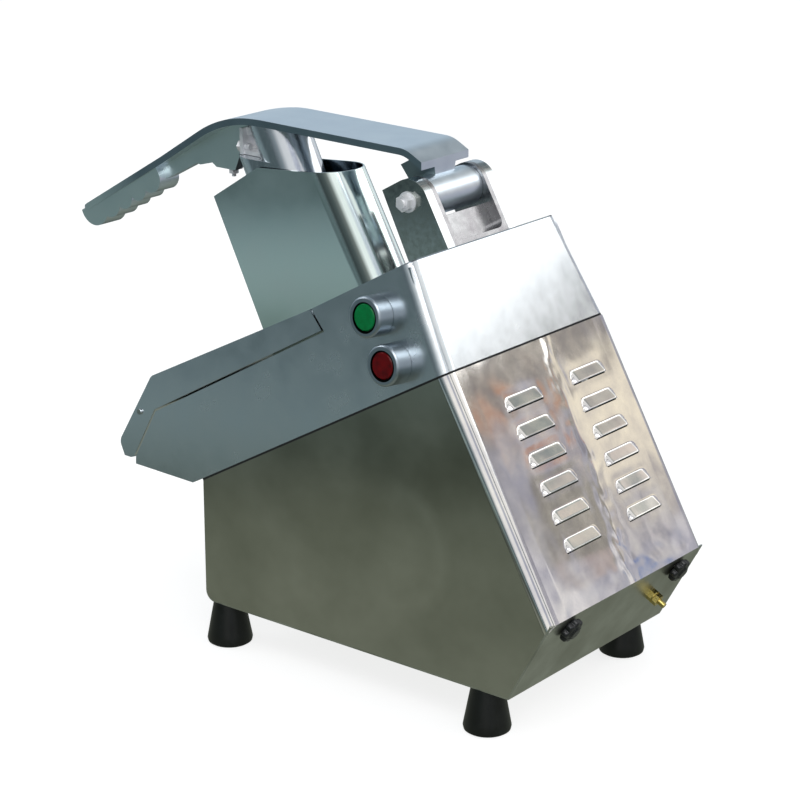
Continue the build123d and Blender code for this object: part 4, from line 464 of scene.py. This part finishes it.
def dark_rubber_seal():
    """Black sponge seal: matt, it only shows as a thin dark line."""
    material, tree, shader, place = new_material("dark_rubber_seal", "#0d0f10", 0, 0.75)
    emboss(tree, shader, (pattern(tree, place, 0.8, detail=2), 0.05))
    return material


def painted_case():
    """Grey stove enamel on a rolled case: a faint orange peel."""
    material, tree, shader, place = new_material("painted_case", "#5c6468", 0, 0.4)
    emboss(tree, shader, (pattern(tree, place, 1.6, detail=1), 0.03))
    return material


polished_stainless = polished_stainless_sheet()
black_phenolic = moulded_black_plastic()
FINISHES = {
    satin_stainless_sheet(): ["body_shell", "chamber_wall"],
    dull_stainless_pan(): ["base_pan"],
    polished_stainless: ["louvre_cover"],
    satin_feed_sheet(): ["hopper"],
    polished_steel_tube(): ["pusher"],
    brushed_casting(): ["head_housing", "lid"],
    cast_lever_metal(): ["lever"],
    chrome_with_painted_shade(): ["clevis"],
    satin_bezel(): ["button_bezels"],
    polished_chrome(): ["head_hinge_leaves", "lid_hinge_leaves", "hinge_pins", "outlet_guard_rod"],
    zinc_fastener(): ["pivot_bolt", "pivot_nut", "pusher_bracket", "pusher_bolts", "stop_screw"],
    turned_steel(): [
        "hinge_screws", "clevis_screws", "head_screws", "housing_screws", "foot_screws",
        "blade_screws", "disc_nut", "knob_studs", "bracket_spacers"],
    machined_steel(): [
        "drive_shaft", "shaft_bearings", "motor_rotor", "motor_stator", "deck_plate",
        "motor_bracket", "slicing_blades", "lid_magnet"],
    machined_aluminium(): [
        "cutting_disc", "driven_pulley", "motor_pulley", "ejector_plate", "bearing_housing"],
    bright_brass(): ["earth_terminal"],
    moulded_rubber(): ["feet", "shaft_seal", "drive_belt"],
    dark_rubber_seal(): ["head_gasket"],
    black_phenolic: [
        "knob_near", "knob_far", "cable_gland", "contact_blocks", "button_nuts",
        "interlock_switch", "cooling_fan", "contactor"],
    cap_plastic("green_cap_plastic", "#006a33", "#007f41"): ["start_button"],
    cap_plastic("red_cap_plastic", "#4a0003", "#6a0106"): ["stop_button"],
    painted_case(): ["motor_body", "run_capacitor"],
}

# Edges and smooth shading of the carried-over pieces

SHARP_ANGLE = radians(28)
BEVEL_ANGLE = radians(35)
FLAT_ANGLE = radians(0.2)
WELD_DISTANCE = 0.002
# Pieces whose cast or ground edges catch the light, and how wide each edge is rounded
SOFT_EDGES = {
    "head_housing": 0.7, "lid": 0.7, "lever": 1.1, "clevis": 0.9, "pusher_bracket": 0.6,
    "button_bezels": 0.5, "pivot_nut": 0.3, "pusher_bolts": 0.3}


def geometry_tree(name, sizes):
    """An empty geometry nodes tree with an input for a geometry and for each named size."""
    tree = bpy.data.node_groups.new(name, "GeometryNodeTree")
    tree.interface.new_socket("Geometry", in_out="INPUT", socket_type="NodeSocketGeometry")
    for size in sizes:
        tree.interface.new_socket(size, in_out="INPUT", socket_type="NodeSocketFloat")
    tree.interface.new_socket("Geometry", in_out="OUTPUT", socket_type="NodeSocketGeometry")
    return tree


def shading_tree():
    """Geometry nodes that shade smooth and keep edges sharper than an angle."""
    tree = geometry_tree("smooth_with_sharp_edges", ["Sharp angle"])
    tree.interface.items_tree["Sharp angle"].default_value = SHARP_ANGLE
    given = add(tree, "NodeGroupInput").outputs
    bend = add(tree, "GeometryNodeInputMeshEdgeAngle")
    sharp = add(tree, "FunctionNodeCompare", (bend, given["Sharp angle"]), operation="GREATER_THAN")
    smooth = add(tree, "GeometryNodeSetShadeSmooth", {"Geometry": given["Geometry"]}, domain="FACE")
    edges = add(tree, "GeometryNodeSetShadeSmooth", {
        "Geometry": smooth, "Selection": sharp, "Shade Smooth": False}, domain="EDGE")
    add(tree, "NodeGroupOutput", {"Geometry": edges})
    return tree


SMOOTHING = shading_tree()


def finish_node(piece, soft_edge):
    """Merges doubled corners, rounds soft edges and shades the curves of a carried-over piece."""
    weld = piece.modifiers.new("merge corners", "WELD")
    weld.merge_threshold = WELD_DISTANCE * MM
    flat = piece.modifiers.new("join flat faces", "DECIMATE")
    flat.decimate_type = "DISSOLVE"
    flat.angle_limit = FLAT_ANGLE
    if soft_edge:
        rounding = piece.modifiers.new("rounded edges", "BEVEL")
        rounding.width = soft_edge * MM
        rounding.segments = 2
        rounding.limit_method = "ANGLE"
        rounding.angle_limit = BEVEL_ANGLE
    shade = piece.modifiers.new("smooth", "NODES")
    shade.node_group = SMOOTHING
    weighted = piece.modifiers.new("flat faces stay flat", "WEIGHTED_NORMAL")
    weighted.keep_sharp = True


for finish, names in FINISHES.items():
    for name in names:
        nodes[name].data.materials.clear()
        nodes[name].data.materials.append(finish)
        finish_node(nodes[name], SOFT_EDGES.get(name, 0))

# The pressed end cover, in millimetres: y runs across it, and w is a height from its top edge

COVER_LENGTH = 220
HALF_WIDTH = 115
CORNER_RADIUS = 10
CORNER_STEPS = 8
HALF_FACE = HALF_WIDTH - CORNER_RADIUS
SHEET_STEP = 1.15
SHEET_THICKNESS = 1.1
# How far the lower edge tilts at the rounded corners to meet the slanting panel, and its trim
FOOT_TILT = 0.63
FOOT_TRIM = 0.3
# The flange behind the slanting panel: how far below the panel's end it starts and ends, and how
# far inside the panel its two faces are
PANEL_LENGTH = 87.2
FLANGE_TOP = 1.6
FLANGE_FOOT = 26
FLANGE_DEPTHS = (1.6, 2.9)

# The louvres: their hoods and lips, the open slots under them, and where they stand
CREASE_Y = 9.6
HOOD_LENGTH = 49
HOOD_HEIGHT = 11
HOOD_DEPTH = 4.3
HOOD_END = 5
HOOD_SLANT = 1.06
LIP_HEIGHT = 1.2
LIP_ROLL = 0.5
SLOT_GAP = 1.1
HOOD_SPREAD = 46.4
HOOD_PITCH = 25.1
FIRST_LIP = 46.8
HOOD_PLACES = [
    (CREASE_Y + side * HOOD_SPREAD, -FIRST_LIP - row * HOOD_PITCH)
    for side in (-1, 1) for row in range(6)]
# Rows of the sheet at each louvre's lip, from above it to below its slot
LIP_ROWS = (LIP_HEIGHT, 0.8, 0.4, 0, -0.02, -SLOT_GAP)

# The crease: how much it leans about a height, and how it sways, as width, length and start
CREASE_LEAN = 0.06
LEAN_HEIGHT = -150
CREASE_SWAYS = ((3, 24, 0), (1.5, 9, 1))
FOLD_HEIGHT = 0.9
RIDGE_HEIGHT = 0.35
RIDGE_WIDTH = 6
# Dents and waves: how high, how long across and down, and which layer of the noise
RIDGE_DENTS = (0.3, 7, 13, 1)
RIDGE_DENTS_WIDTH = 11
FOOT_DENTS = (0.2, 24, 15, 5)
FOOT_DENTS_HEIGHT = -210
FOOT_DENTS_WIDTH = 18
LONG_WAVES = (0.45, 62, 70, 3)
SHORT_WAVES = (0.2, 26, 30, 7)
# How the sheet is pulled in round each louvre, and how it rises from its edges
HOOD_PULL = 0.12
PULL_INSET = 3
PULL_REACH = 40
EDGE_FADE = 14
SHEET_LIFT = 0.2


def cover_section():
    """Points and outward ways across the cover: rounded corner, face, rounded corner."""
    corner = []
    for step in range(CORNER_STEPS + 1):
        turn = radians(90 * step / CORNER_STEPS)
        corner.append((
            -CORNER_RADIUS + CORNER_RADIUS * sin(turn),
            -HALF_WIDTH + CORNER_RADIUS - CORNER_RADIUS * cos(turn), sin(turn), -cos(turn)))
    count = round(2 * HALF_FACE / SHEET_STEP)
    face = [(0, -HALF_FACE + 2 * HALF_FACE * step / count, 1, 0) for step in range(1, count)]
    return corner + face + [(u, -y, out_u, -out_y) for u, y, out_u, out_y in reversed(corner)]


def cover_rows():
    """How far down each row of the cover lies, closer together at the louvres' lips."""
    count = round(COVER_LENGTH / SHEET_STEP)
    rows = {round(-COVER_LENGTH * step / count, 3) for step in range(count + 1)}
    for _, lip in HOOD_PLACES:
        rows = {w for w in rows if not -SLOT_GAP - 0.5 < w - lip < LIP_HEIGHT + 0.4}
    for _, lip in HOOD_PLACES:
        rows |= {round(lip + step, 3) for step in LIP_ROWS}
    return sorted(rows, reverse=True)


def hood_rise(y, w):
    """How far the nearest louvre's hood stands out at a place: a slanted lens with round ends."""
    for hood_y, lip in HOOD_PLACES:
        up = (w - lip) / HOOD_HEIGHT
        if not -0.001 <= up < 1:
            continue
        half = HOOD_LENGTH / 2 - HOOD_END * (1 - sqrt(1 - up * up))
        along = half - abs(y - hood_y)
        if along <= 0:
            continue
        slant = HOOD_DEPTH * min(1, HOOD_SLANT * (1 - up))
        end = min(1, along / HOOD_END)
        swell = slant * end * (2 - end)
        return swell - LIP_ROLL * max(0, 1 - (w - lip) / LIP_HEIGHT) ** 2 * end
    return 0


def dents(y, w, height, across, down, layer):
    """Uneven waves of a height, a length across and a length down."""
    return height * noise.noise(Vector((y / across, w / down, layer)))


def bell(distance, width):
    """One on a line, and falling away to both sides of it."""
    return exp(-(distance / width) ** 2)


def sheet_rise(y, w):
    """The raised crease, the pull of each louvre and the waves of a thin pressed sheet."""
    crease = CREASE_Y + CREASE_LEAN * (w - LEAN_HEIGHT)
    for wide, long, start in CREASE_SWAYS:
        crease += wide * sin(w / long + start)
    rise = FOLD_HEIGHT * (1 - min(1, abs(y - crease) / HALF_FACE)) ** 1.5
    rise += RIDGE_HEIGHT * bell(y - crease, RIDGE_WIDTH)
    rise += dents(y, w, *RIDGE_DENTS) * bell(y - crease, RIDGE_DENTS_WIDTH)
    rise += dents(y, w, *FOOT_DENTS) * bell(w - FOOT_DENTS_HEIGHT, FOOT_DENTS_WIDTH)
    for hood_y, lip in HOOD_PLACES:
        across = max(0, abs(y - hood_y) - HOOD_LENGTH / 2 + PULL_INSET)
        up = max(0, abs(w - lip - HOOD_HEIGHT / 2) - HOOD_HEIGHT / 2)
        rise -= HOOD_PULL * exp(-(across * across + up * up) / PULL_REACH)
    rise += dents(y, w, *LONG_WAVES)
    rise += dents(y, w, *SHORT_WAVES)
    return max(0, min(1, (HALF_FACE - abs(y)) / EDGE_FADE)) * (rise + SHEET_LIFT)


def sheet_faces(section, rows):
    """The squares between the sheet's rows, without those in the open slots under the hoods."""
    faces = []
    for row, w in enumerate(rows[:-1]):
        lip = next((lip for _, lip in HOOD_PLACES if -0.03 < w - lip < 0.01), None)
        for column in range(len(section) - 1):
            middle = (section[column][1] + section[column + 1][1]) / 2
            on_face = section[column][0] == 0
            if lip is not None and on_face and hood_rise(middle, lip) > 0.5:
                continue
            first = row * len(section) + column
            below = first + len(section)
            faces.append((first, below, below + 1, first + 1))
    return faces


def flange_corners():
    """The eight corners of the flange that is bent in behind the slanting panel."""
    outline = (
        (FLANGE_TOP, -HALF_FACE), (FLANGE_TOP, HALF_FACE),
        (FLANGE_FOOT, HALF_FACE), (FLANGE_FOOT, -HALF_FACE))
    return [
        panel_point(PANEL_LENGTH - down, y, depth)
        for depth in FLANGE_DEPTHS for down, y in outline]


def pressed_cover():
    """The polished end cover as one pressed sheet with open louvres."""
    rows = cover_rows()
    section = cover_section()
    corners = []
    for w in rows:
        for u, y, out_u, out_y in section:
            lift = sheet_rise(y, w) + hood_rise(y, w) if u == 0 and out_u == 1 else 0
            reach = w + FOOT_TILT * u * (-w / COVER_LENGTH) - FOOT_TRIM * (w == rows[-1])
            corners.append(deck_point(u + lift * out_u, y, reach))
    faces = sheet_faces(section, rows)
    flange = len(corners)
    corners += flange_corners()
    ends = [flange, flange + 1, flange + 2, flange + 3]
    faces += [ends, [corner + 4 for corner in reversed(ends)]]
    for corner, after in zip(ends, ends[1:] + ends[:1]):
        faces.append((after, corner, corner + 4, after + 4))
    mesh = bpy.data.meshes.new("pressed_louvre_cover")
    mesh.from_pydata([tuple(corner) for corner in corners], [], faces)
    mesh.materials.append(polished_stainless)
    cover = bpy.data.objects.new("pressed_louvre_cover", mesh)
    bpy.context.scene.collection.objects.link(cover)
    # Only the sheet gets a thickness; the flange is solid already.
    wall = cover.modifiers.new("sheet thickness", "SOLIDIFY")
    wall.thickness = SHEET_THICKNESS * MM
    wall.offset = -1
    wall.vertex_group = "sheet"
    sheet = cover.vertex_groups.new(name="sheet")
    sheet.add(range(flange), 1.0, "REPLACE")
    shade = cover.modifiers.new("smooth", "NODES")
    shade.node_group = SMOOTHING
    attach(cover, "machine")
    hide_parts("louvre_cover")


pressed_cover()

# The hand knobs that hold the cover

KNOB_SIZES = {
    "Radius": 11.5 * MM, "Low end": 0.3 * MM, "Shoulder height": 8 * MM, "Boss height": 1.5 * MM,
    "Lobes": 8, "Lobe depth": 2.6 * MM}
KNOB_UP_PANEL = 73
KNOB_Y = 82
# What a place on the sphere is turned into, one sum after another
KNOB_SUMS = (
    ("turn", "ARCTAN2", "Y", "X"),
    # Out to the rim the section is nearly square.
    ("steep", "ABSOLUTE", "Z"),
    ("steep", "POWER", "steep", 4.0),
    ("out", "SUBTRACT", 1.0, "steep"),
    ("out", "MAXIMUM", "out", 0.0),
    ("out", "POWER", "out", 0.25),
    # The lobes meet in narrow grooves, which run out towards the middle.
    ("half lobes", "DIVIDE", "Lobes", 2.0),
    ("wave", "MULTIPLY", "turn", "half lobes"),
    ("wave", "COSINE", "wave"),
    ("wave", "ABSOLUTE", "wave"),
    ("groove", "SUBTRACT", 1.0, "wave"),
    ("groove", "MULTIPLY", "groove", "Lobe depth"),
    ("at rim", "POWER", "out", 3.0),
    ("groove", "MULTIPLY", "groove", "at rim"),
    ("reach", "MULTIPLY", "out", "Radius"),
    ("reach", "SUBTRACT", "reach", "groove"),
    ("cosine", "COSINE", "turn"),
    ("sine", "SINE", "turn"),
    ("new X", "MULTIPLY", "reach", "cosine"),
    ("new Y", "MULTIPLY", "reach", "sine"),
    ("upper half", "GREATER_THAN", "Z", 0.0),
)


def lobed_knob_tree():
    """Geometry nodes that press a sphere into a flat knob with lobes round it and a boss on top."""
    tree = geometry_tree("lobed_knob", KNOB_SIZES)
    sizes = add(tree, "NodeGroupInput").outputs
    ball = add(tree, "GeometryNodeMeshUVSphere", {"Segments": 96, "Rings": 64, "Radius": 1.0})
    axes = add(tree, "ShaderNodeSeparateXYZ", (add(tree, "GeometryNodeInputPosition"),)).outputs
    made = {axis: axes[axis] for axis in "XYZ"}
    made.update((size, sizes[size]) for size in KNOB_SIZES)
    for name, operation, *values in KNOB_SUMS:
        made[name] = add(tree, "ShaderNodeMath", [
            made.get(value, value) for value in values], operation=operation)
    along = add(tree, "ShaderNodeMapRange", (
        axes["Z"], -1.0, 1.0, sizes["Low end"], sizes["Shoulder height"]))
    boss = add(tree, "ShaderNodeMapRange", (made["out"], 0.45, 0.65, 1, 0))
    boss = add(tree, "ShaderNodeMath", (boss, made["upper half"]), operation="MULTIPLY")
    high = add(tree, "ShaderNodeMath", (
        boss, sizes["Boss height"], along), operation="MULTIPLY_ADD")
    place = add(tree, "ShaderNodeCombineXYZ", (made["new X"], made["new Y"], high))
    pressed = add(tree, "GeometryNodeSetPosition", {"Geometry": ball, "Position": place})
    smooth = add(tree, "GeometryNodeSetShadeSmooth", {"Geometry": pressed}, domain="FACE")
    real = add(tree, "GeometryNodeRealizeInstances", {"Geometry": smooth})
    painted = add(tree, "GeometryNodeSetMaterial", {"Geometry": real, "Material": black_phenolic})
    add(tree, "NodeGroupOutput", {"Geometry": painted})
    return tree


def lobed_knob(tree, node, body, y):
    """One hand knob on its stud, out of the slanting panel."""
    blank = bpy.data.objects.new(node + "_blank", bpy.data.meshes.new(node + "_blank"))
    bpy.context.scene.collection.objects.link(blank)
    shape = blank.modifiers.new("lobed knob", "NODES")
    shape.node_group = tree
    for item in tree.interface.items_tree:
        if item.name in KNOB_SIZES:
            shape[item.identifier] = float(KNOB_SIZES[item.name])
    evaluated = blank.evaluated_get(bpy.context.evaluated_depsgraph_get())
    mesh = bpy.data.meshes.new_from_object(evaluated)
    bpy.data.objects.remove(blank)
    outward = panel_point(0, 0, -1) - panel_point(0, 0, 0)
    mesh.transform(outward.to_track_quat("Z", "Y").to_matrix().to_4x4())
    mesh.transform(Matrix.Translation(panel_point(KNOB_UP_PANEL, y, 0)))
    knob = bpy.data.objects.new("lobed_" + node, mesh)
    bpy.context.scene.collection.objects.link(knob)
    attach(knob, body)
    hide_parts(node)


KNOB_SHAPE = lobed_knob_tree()
lobed_knob(KNOB_SHAPE, "knob_near", "knob_near_turn", -KNOB_Y)
lobed_knob(KNOB_SHAPE, "knob_far", "knob_far_turn", KNOB_Y)

# Camera, placed from the feet's middle

CAMERA_PLACE = (1.2358, -1.5869, 0.9036)
CAMERA_AZIMUTH = 38.553
CAMERA_ELEVATION = 18.401
CAMERA_LENS = 108.56

camera_data = bpy.data.cameras.new("camera")
camera_data.sensor_width = 36
camera_data.lens = CAMERA_LENS
camera_data.clip_end = 50
camera = bpy.data.objects.new("camera", camera_data)
camera.location = MIDDLE + Vector(CAMERA_PLACE)
camera.rotation_euler = (radians(90 - CAMERA_ELEVATION), 0, radians(CAMERA_AZIMUTH))
bpy.context.scene.collection.objects.link(camera)
bpy.context.scene.camera = camera

# Studio, in metres

FLOOR_HALF = 6
CARD_HALF = 5.9
CARD_HEIGHT = 0.0002
PAPER_GREY = (0.32, 0.32, 0.32, 1)
PAPER_GLOW = 0.8
# Rings of the ground card round the machine, as shares of this radius
RINGS_RADIUS = 2.5
GROUND_RINGS = (
    (0, "#82877c"), (0.1, "#8b9084"), (0.2, "#858b7f"), (0.27, "#4c534b"), (0.33, "#5d6661"),
    (0.42, "#6c7b77"), (0.5, "#93a5a6"), (0.58, "#8fa1a4"), (0.64, "#82949a"), (0.7, "#525f62"),
    (0.76, "#3f4a4c"), (0.85, "#5c6a6d"), (1, "#5f6e71"))
# The room card stands behind the machine on the right, from the feet's middle
ROOM_CARD = ((1.7, 0.1, 0), (1.7, 0.1, 0.78), (0.1, 1.7, 0.78), (0.1, 1.7, 0))
# Soft patches on the room card: across, height, half width, half height and colour
ROOM_PATCHES = (
    (-0.3, 0.54, 0.2, 0.12, "#fff6e4"),
    (-0.14, 0.76, 0.5, 0.1, "#a09b95"),
    (-0.33, 0.69, 0.1, 0.07, "#a39e99"),
    (-0.02, 0.69, 0.04, 0.028, "#d2a284"),
    (-0.06, 0.6, 0.035, 0.025, "#c79478"),
    (0.0, 0.5, 0.075, 0.08, "#9d9990"),
    (-0.105, 0.52, 0.022, 0.16, "#f6f1ee"),
    (0.15, 0.42, 0.045, 0.11, "#fdfbfd"),
    (0.03, 0.43, 0.04, 0.03, "#c9b9b4"),
    (-0.055, 0.374, 0.05, 0.02, "#6f8bc4"),
    (-0.2, 0.37, 0.04, 0.02, "#e8e6ee"),
    (-0.26, 0.42, 0.1, 0.04, "#cfc9c4"),
    (0.07, 0.33, 0.03, 0.03, "#93a5c4"),
)
# What stands round the machine, by degrees from straight in front towards the right
ROOM_WALLS = (
    (-180, "#eef3f8"),
    (-150, "#c6d5e0"),
    (-120, "#c0cfdb"),
    (-80, "#a9b6be"),
    (-62, "#65737a"),
    (-22, "#5c686d"),
    (2, "#9aa5aa"),
    (18, "#ffffff"),
    (40, "#ffffff"),
    (46, "#bfc3d2"),
    (58, "#b4b8c6"),
    (63, "#ffffff"),
    (75, "#ffffff"),
    (78, "#78828a"),
    (83, "#78828a"),
    (87, "#ffffff"),
    (117, "#ffffff"),
    (121, "#939da2"),
    (126, "#ffffff"),
    (180, "#ffffff"),
)
# The edges of a shelf above the room card: axis, from where to where, and how open each side is
SHELF_EDGES = (
    ("Z", 0.49, 0.55, 1, 0),
    ("Z", 0.88, 0.95, 0, 0.4),
    ("X", 0.36, 0.46, 0, 1),
    ("Y", 0.55, 0.65, 1, 0),
)
# Which way the window behind on the right lies, and how bright it is
WINDOW_WAY = (0.56, 0.76, 0.33)
WINDOW_GLOW = 2.4
LAMP_TARGET = Vector((0, 0, 0.2))


def flat_sheet(name, corners, material):
    """A flat studio sheet with these corners."""
    mesh = bpy.data.meshes.new(name)
    mesh.from_pydata(corners, [], [range(len(corners))])
    sheet = bpy.data.objects.new(name, mesh)
    sheet.data.materials.append(material)
    bpy.context.scene.collection.objects.link(sheet)
    return sheet


def level_square(half, height):
    """The corners of a level square round the origin."""
    return [(x, y, height) for x, y in ((-half, -half), (half, -half), (half, half), (-half, half))]


def only_reflected(sheet):
    """The sheet shows in bright metal and nowhere else, as a grey card outside the picture does."""
    sheet.visible_camera = False
    sheet.visible_diffuse = False
    sheet.visible_transmission = False
    sheet.visible_volume_scatter = False
    sheet.visible_shadow = False


def white_paper_floor():
    """White paper floor that keeps a faint soft shadow."""
    material, tree = studio_material("white_paper_floor")
    paper = add(tree, "ShaderNodeBsdfDiffuse", {"Color": PAPER_GREY})
    glow = add(tree, "ShaderNodeEmission", {"Color": WHITE, "Strength": PAPER_GLOW})
    rays = add(tree, "ShaderNodeLightPath").outputs
    seen = rays["Is Camera Ray"]
    for ray in ("Is Glossy Ray", "Is Transmission Ray"):
        seen = add(tree, "ShaderNodeMath", (seen, rays[ray]), operation="MAXIMUM")
    both = add(tree, "ShaderNodeAddShader", (paper, glow))
    mix = add(tree, "ShaderNodeMixShader", (seen, paper, both))
    add(tree, "ShaderNodeOutputMaterial", {"Surface": mix})
    return material


def ground_card_material():
    """Grey-green ground cloth round the machine, darker in rings, as its bright sides show it."""
    material, tree = studio_material("ground_card")
    place = add(tree, "ShaderNodeTexCoord").outputs["Object"]
    from_machine = add(tree, "ShaderNodeVectorMath", (place, MIDDLE), operation="SUBTRACT")
    far = add(tree, "ShaderNodeVectorMath", (from_machine,), operation="LENGTH")
    share = add(tree, "ShaderNodeMapRange", (far, 0, RINGS_RADIUS, 0, 1))
    rings = add(tree, "ShaderNodeValToRGB", (share,), GROUND_RINGS)
    glow = add(tree, "ShaderNodeEmission", {"Color": rings, "Strength": 1.0})
    add(tree, "ShaderNodeOutputMaterial", {"Surface": glow})
    return material


def room_card_material():
    """Cream and lilac-grey patches of a room wall, as the mirror-polished cover shows them."""
    material, tree = studio_material("room_card")
    place = add(tree, "ShaderNodeTexCoord").outputs["Object"]
    place = add(tree, "ShaderNodeVectorMath", (place, MIDDLE), operation="SUBTRACT")
    axes = add(tree, "ShaderNodeSeparateXYZ", (place,)).outputs
    side = add(tree, "ShaderNodeMath", (axes["X"], axes["Y"]), operation="SUBTRACT")
    card = add(tree, "ShaderNodeCombineXYZ", (side, axes["Z"]))
    cloth = pattern(tree, place, 110, detail=2)
    tint = add(tree, "ShaderNodeValToRGB", (cloth,), ((0.35, "#9c9ba4"), (0.65, "#c6c6d2")))
    for across, high, wide, tall, value in ROOM_PATCHES:
        spot = add(tree, "ShaderNodeVectorMath", (card, (across, high, 0)), operation="SUBTRACT")
        spot = add(tree, "ShaderNodeVectorMath", (spot, (wide, tall, 1)), operation="DIVIDE")
        edge = add(tree, "ShaderNodeVectorMath", (spot,), operation="LENGTH")
        ragged = add(tree, "ShaderNodeMath", (cloth, 0.9, edge), operation="MULTIPLY_ADD")
        inside = add(tree, "ShaderNodeMapRange", (ragged, 1.25, 1.55, 1, 0))
        tint = add(tree, "ShaderNodeMix", {
            "Factor": inside, "A": tint, "B": colour(value)}, data_type="RGBA")
    glow = add(tree, "ShaderNodeEmission", {"Color": tint, "Strength": 1.0})
    add(tree, "ShaderNodeOutputMaterial", {"Surface": glow})
    return material


def studio_world():
    """White to the camera; in the metal a room whose walls change round the machine."""
    world = bpy.data.worlds.new("studio")
    world.use_nodes = True
    tree = world.node_tree
    tree.nodes.clear()
    way = add(tree, "ShaderNodeTexCoord").outputs["Generated"]
    axes = add(tree, "ShaderNodeSeparateXYZ", (way,)).outputs
    front = add(tree, "ShaderNodeMath", (axes["Y"], -1), operation="MULTIPLY")
    round_about = add(tree, "ShaderNodeMath", (axes["X"], front), operation="ARCTAN2")
    share = add(tree, "ShaderNodeMapRange", (round_about, -pi, pi, 0, 1))
    walls = add(tree, "ShaderNodeValToRGB", (share,), [
        ((degrees_round + 180) / 360, value) for degrees_round, value in ROOM_WALLS])
    # A grey-green shelf above the room card, which the slanted hoods show
    off_shelf = 0.0
    for axis, *limits in SHELF_EDGES:
        past_edge = add(tree, "ShaderNodeMapRange", (axes[axis], *limits))
        off_shelf = add(tree, "ShaderNodeMath", (past_edge, off_shelf), operation="MAXIMUM")
    folds = add(tree, "ShaderNodeValToRGB", (
        pattern(tree, way, 70, detail=2),), ((0.48, "#7d8888"), (0.68, "#d8c8bc")))
    shelf = add(tree, "ShaderNodeMix", {
        "Factor": off_shelf, "A": folds, "B": WHITE}, data_type="RGBA")
    room = add(tree, "ShaderNodeMix", {
        "Factor": 1.0, "A": walls, "B": shelf}, data_type="RGBA", blend_type="MULTIPLY")
    # The window lights the head's end face
    window = add(tree, "ShaderNodeVectorMath", (way, WINDOW_WAY), operation="DOT_PRODUCT")
    window = add(tree, "ShaderNodeMapRange", (window, 0.86, 0.96, 1, WINDOW_GLOW))
    room = add(tree, "ShaderNodeVectorMath", {0: room, "Scale": window}, operation="SCALE")
    to_camera = add(tree, "ShaderNodeLightPath").outputs["Is Camera Ray"]
    room_glow = add(tree, "ShaderNodeBackground", {"Color": room, "Strength": 1.0})
    white = add(tree, "ShaderNodeBackground", {"Color": WHITE, "Strength": 1.0})
    mix = add(tree, "ShaderNodeMixShader", (to_camera, room_glow, white))
    add(tree, "ShaderNodeOutputWorld", {"Surface": mix})
    bpy.context.scene.world = world


def softbox(name, place, size, power):
    """A square soft lamp that looks at the machine."""
    lamp_data = bpy.data.lights.new(name, "AREA")
    lamp_data.shape = "SQUARE"
    lamp_data.size = size
    lamp_data.energy = power
    lamp = bpy.data.objects.new(name, lamp_data)
    lamp.location = place
    lamp.rotation_euler = (LAMP_TARGET - Vector(place)).to_track_quat("-Z", "Y").to_euler()
    bpy.context.scene.collection.objects.link(lamp)


flat_sheet("floor", level_square(FLOOR_HALF, 0), white_paper_floor())
only_reflected(flat_sheet(
    "ground_card", level_square(CARD_HALF, CARD_HEIGHT), ground_card_material()))
only_reflected(flat_sheet(
    "room_card", [MIDDLE + Vector(corner) for corner in ROOM_CARD], room_card_material()))
studio_world()
softbox("key_lamp", (1.2, -1.6, 2.4), 1.4, 22)
softbox("side_lamp", (-1.8, -0.8, 1.6), 1.2, 10)

bpy.context.scene.view_settings.view_transform = "Standard"
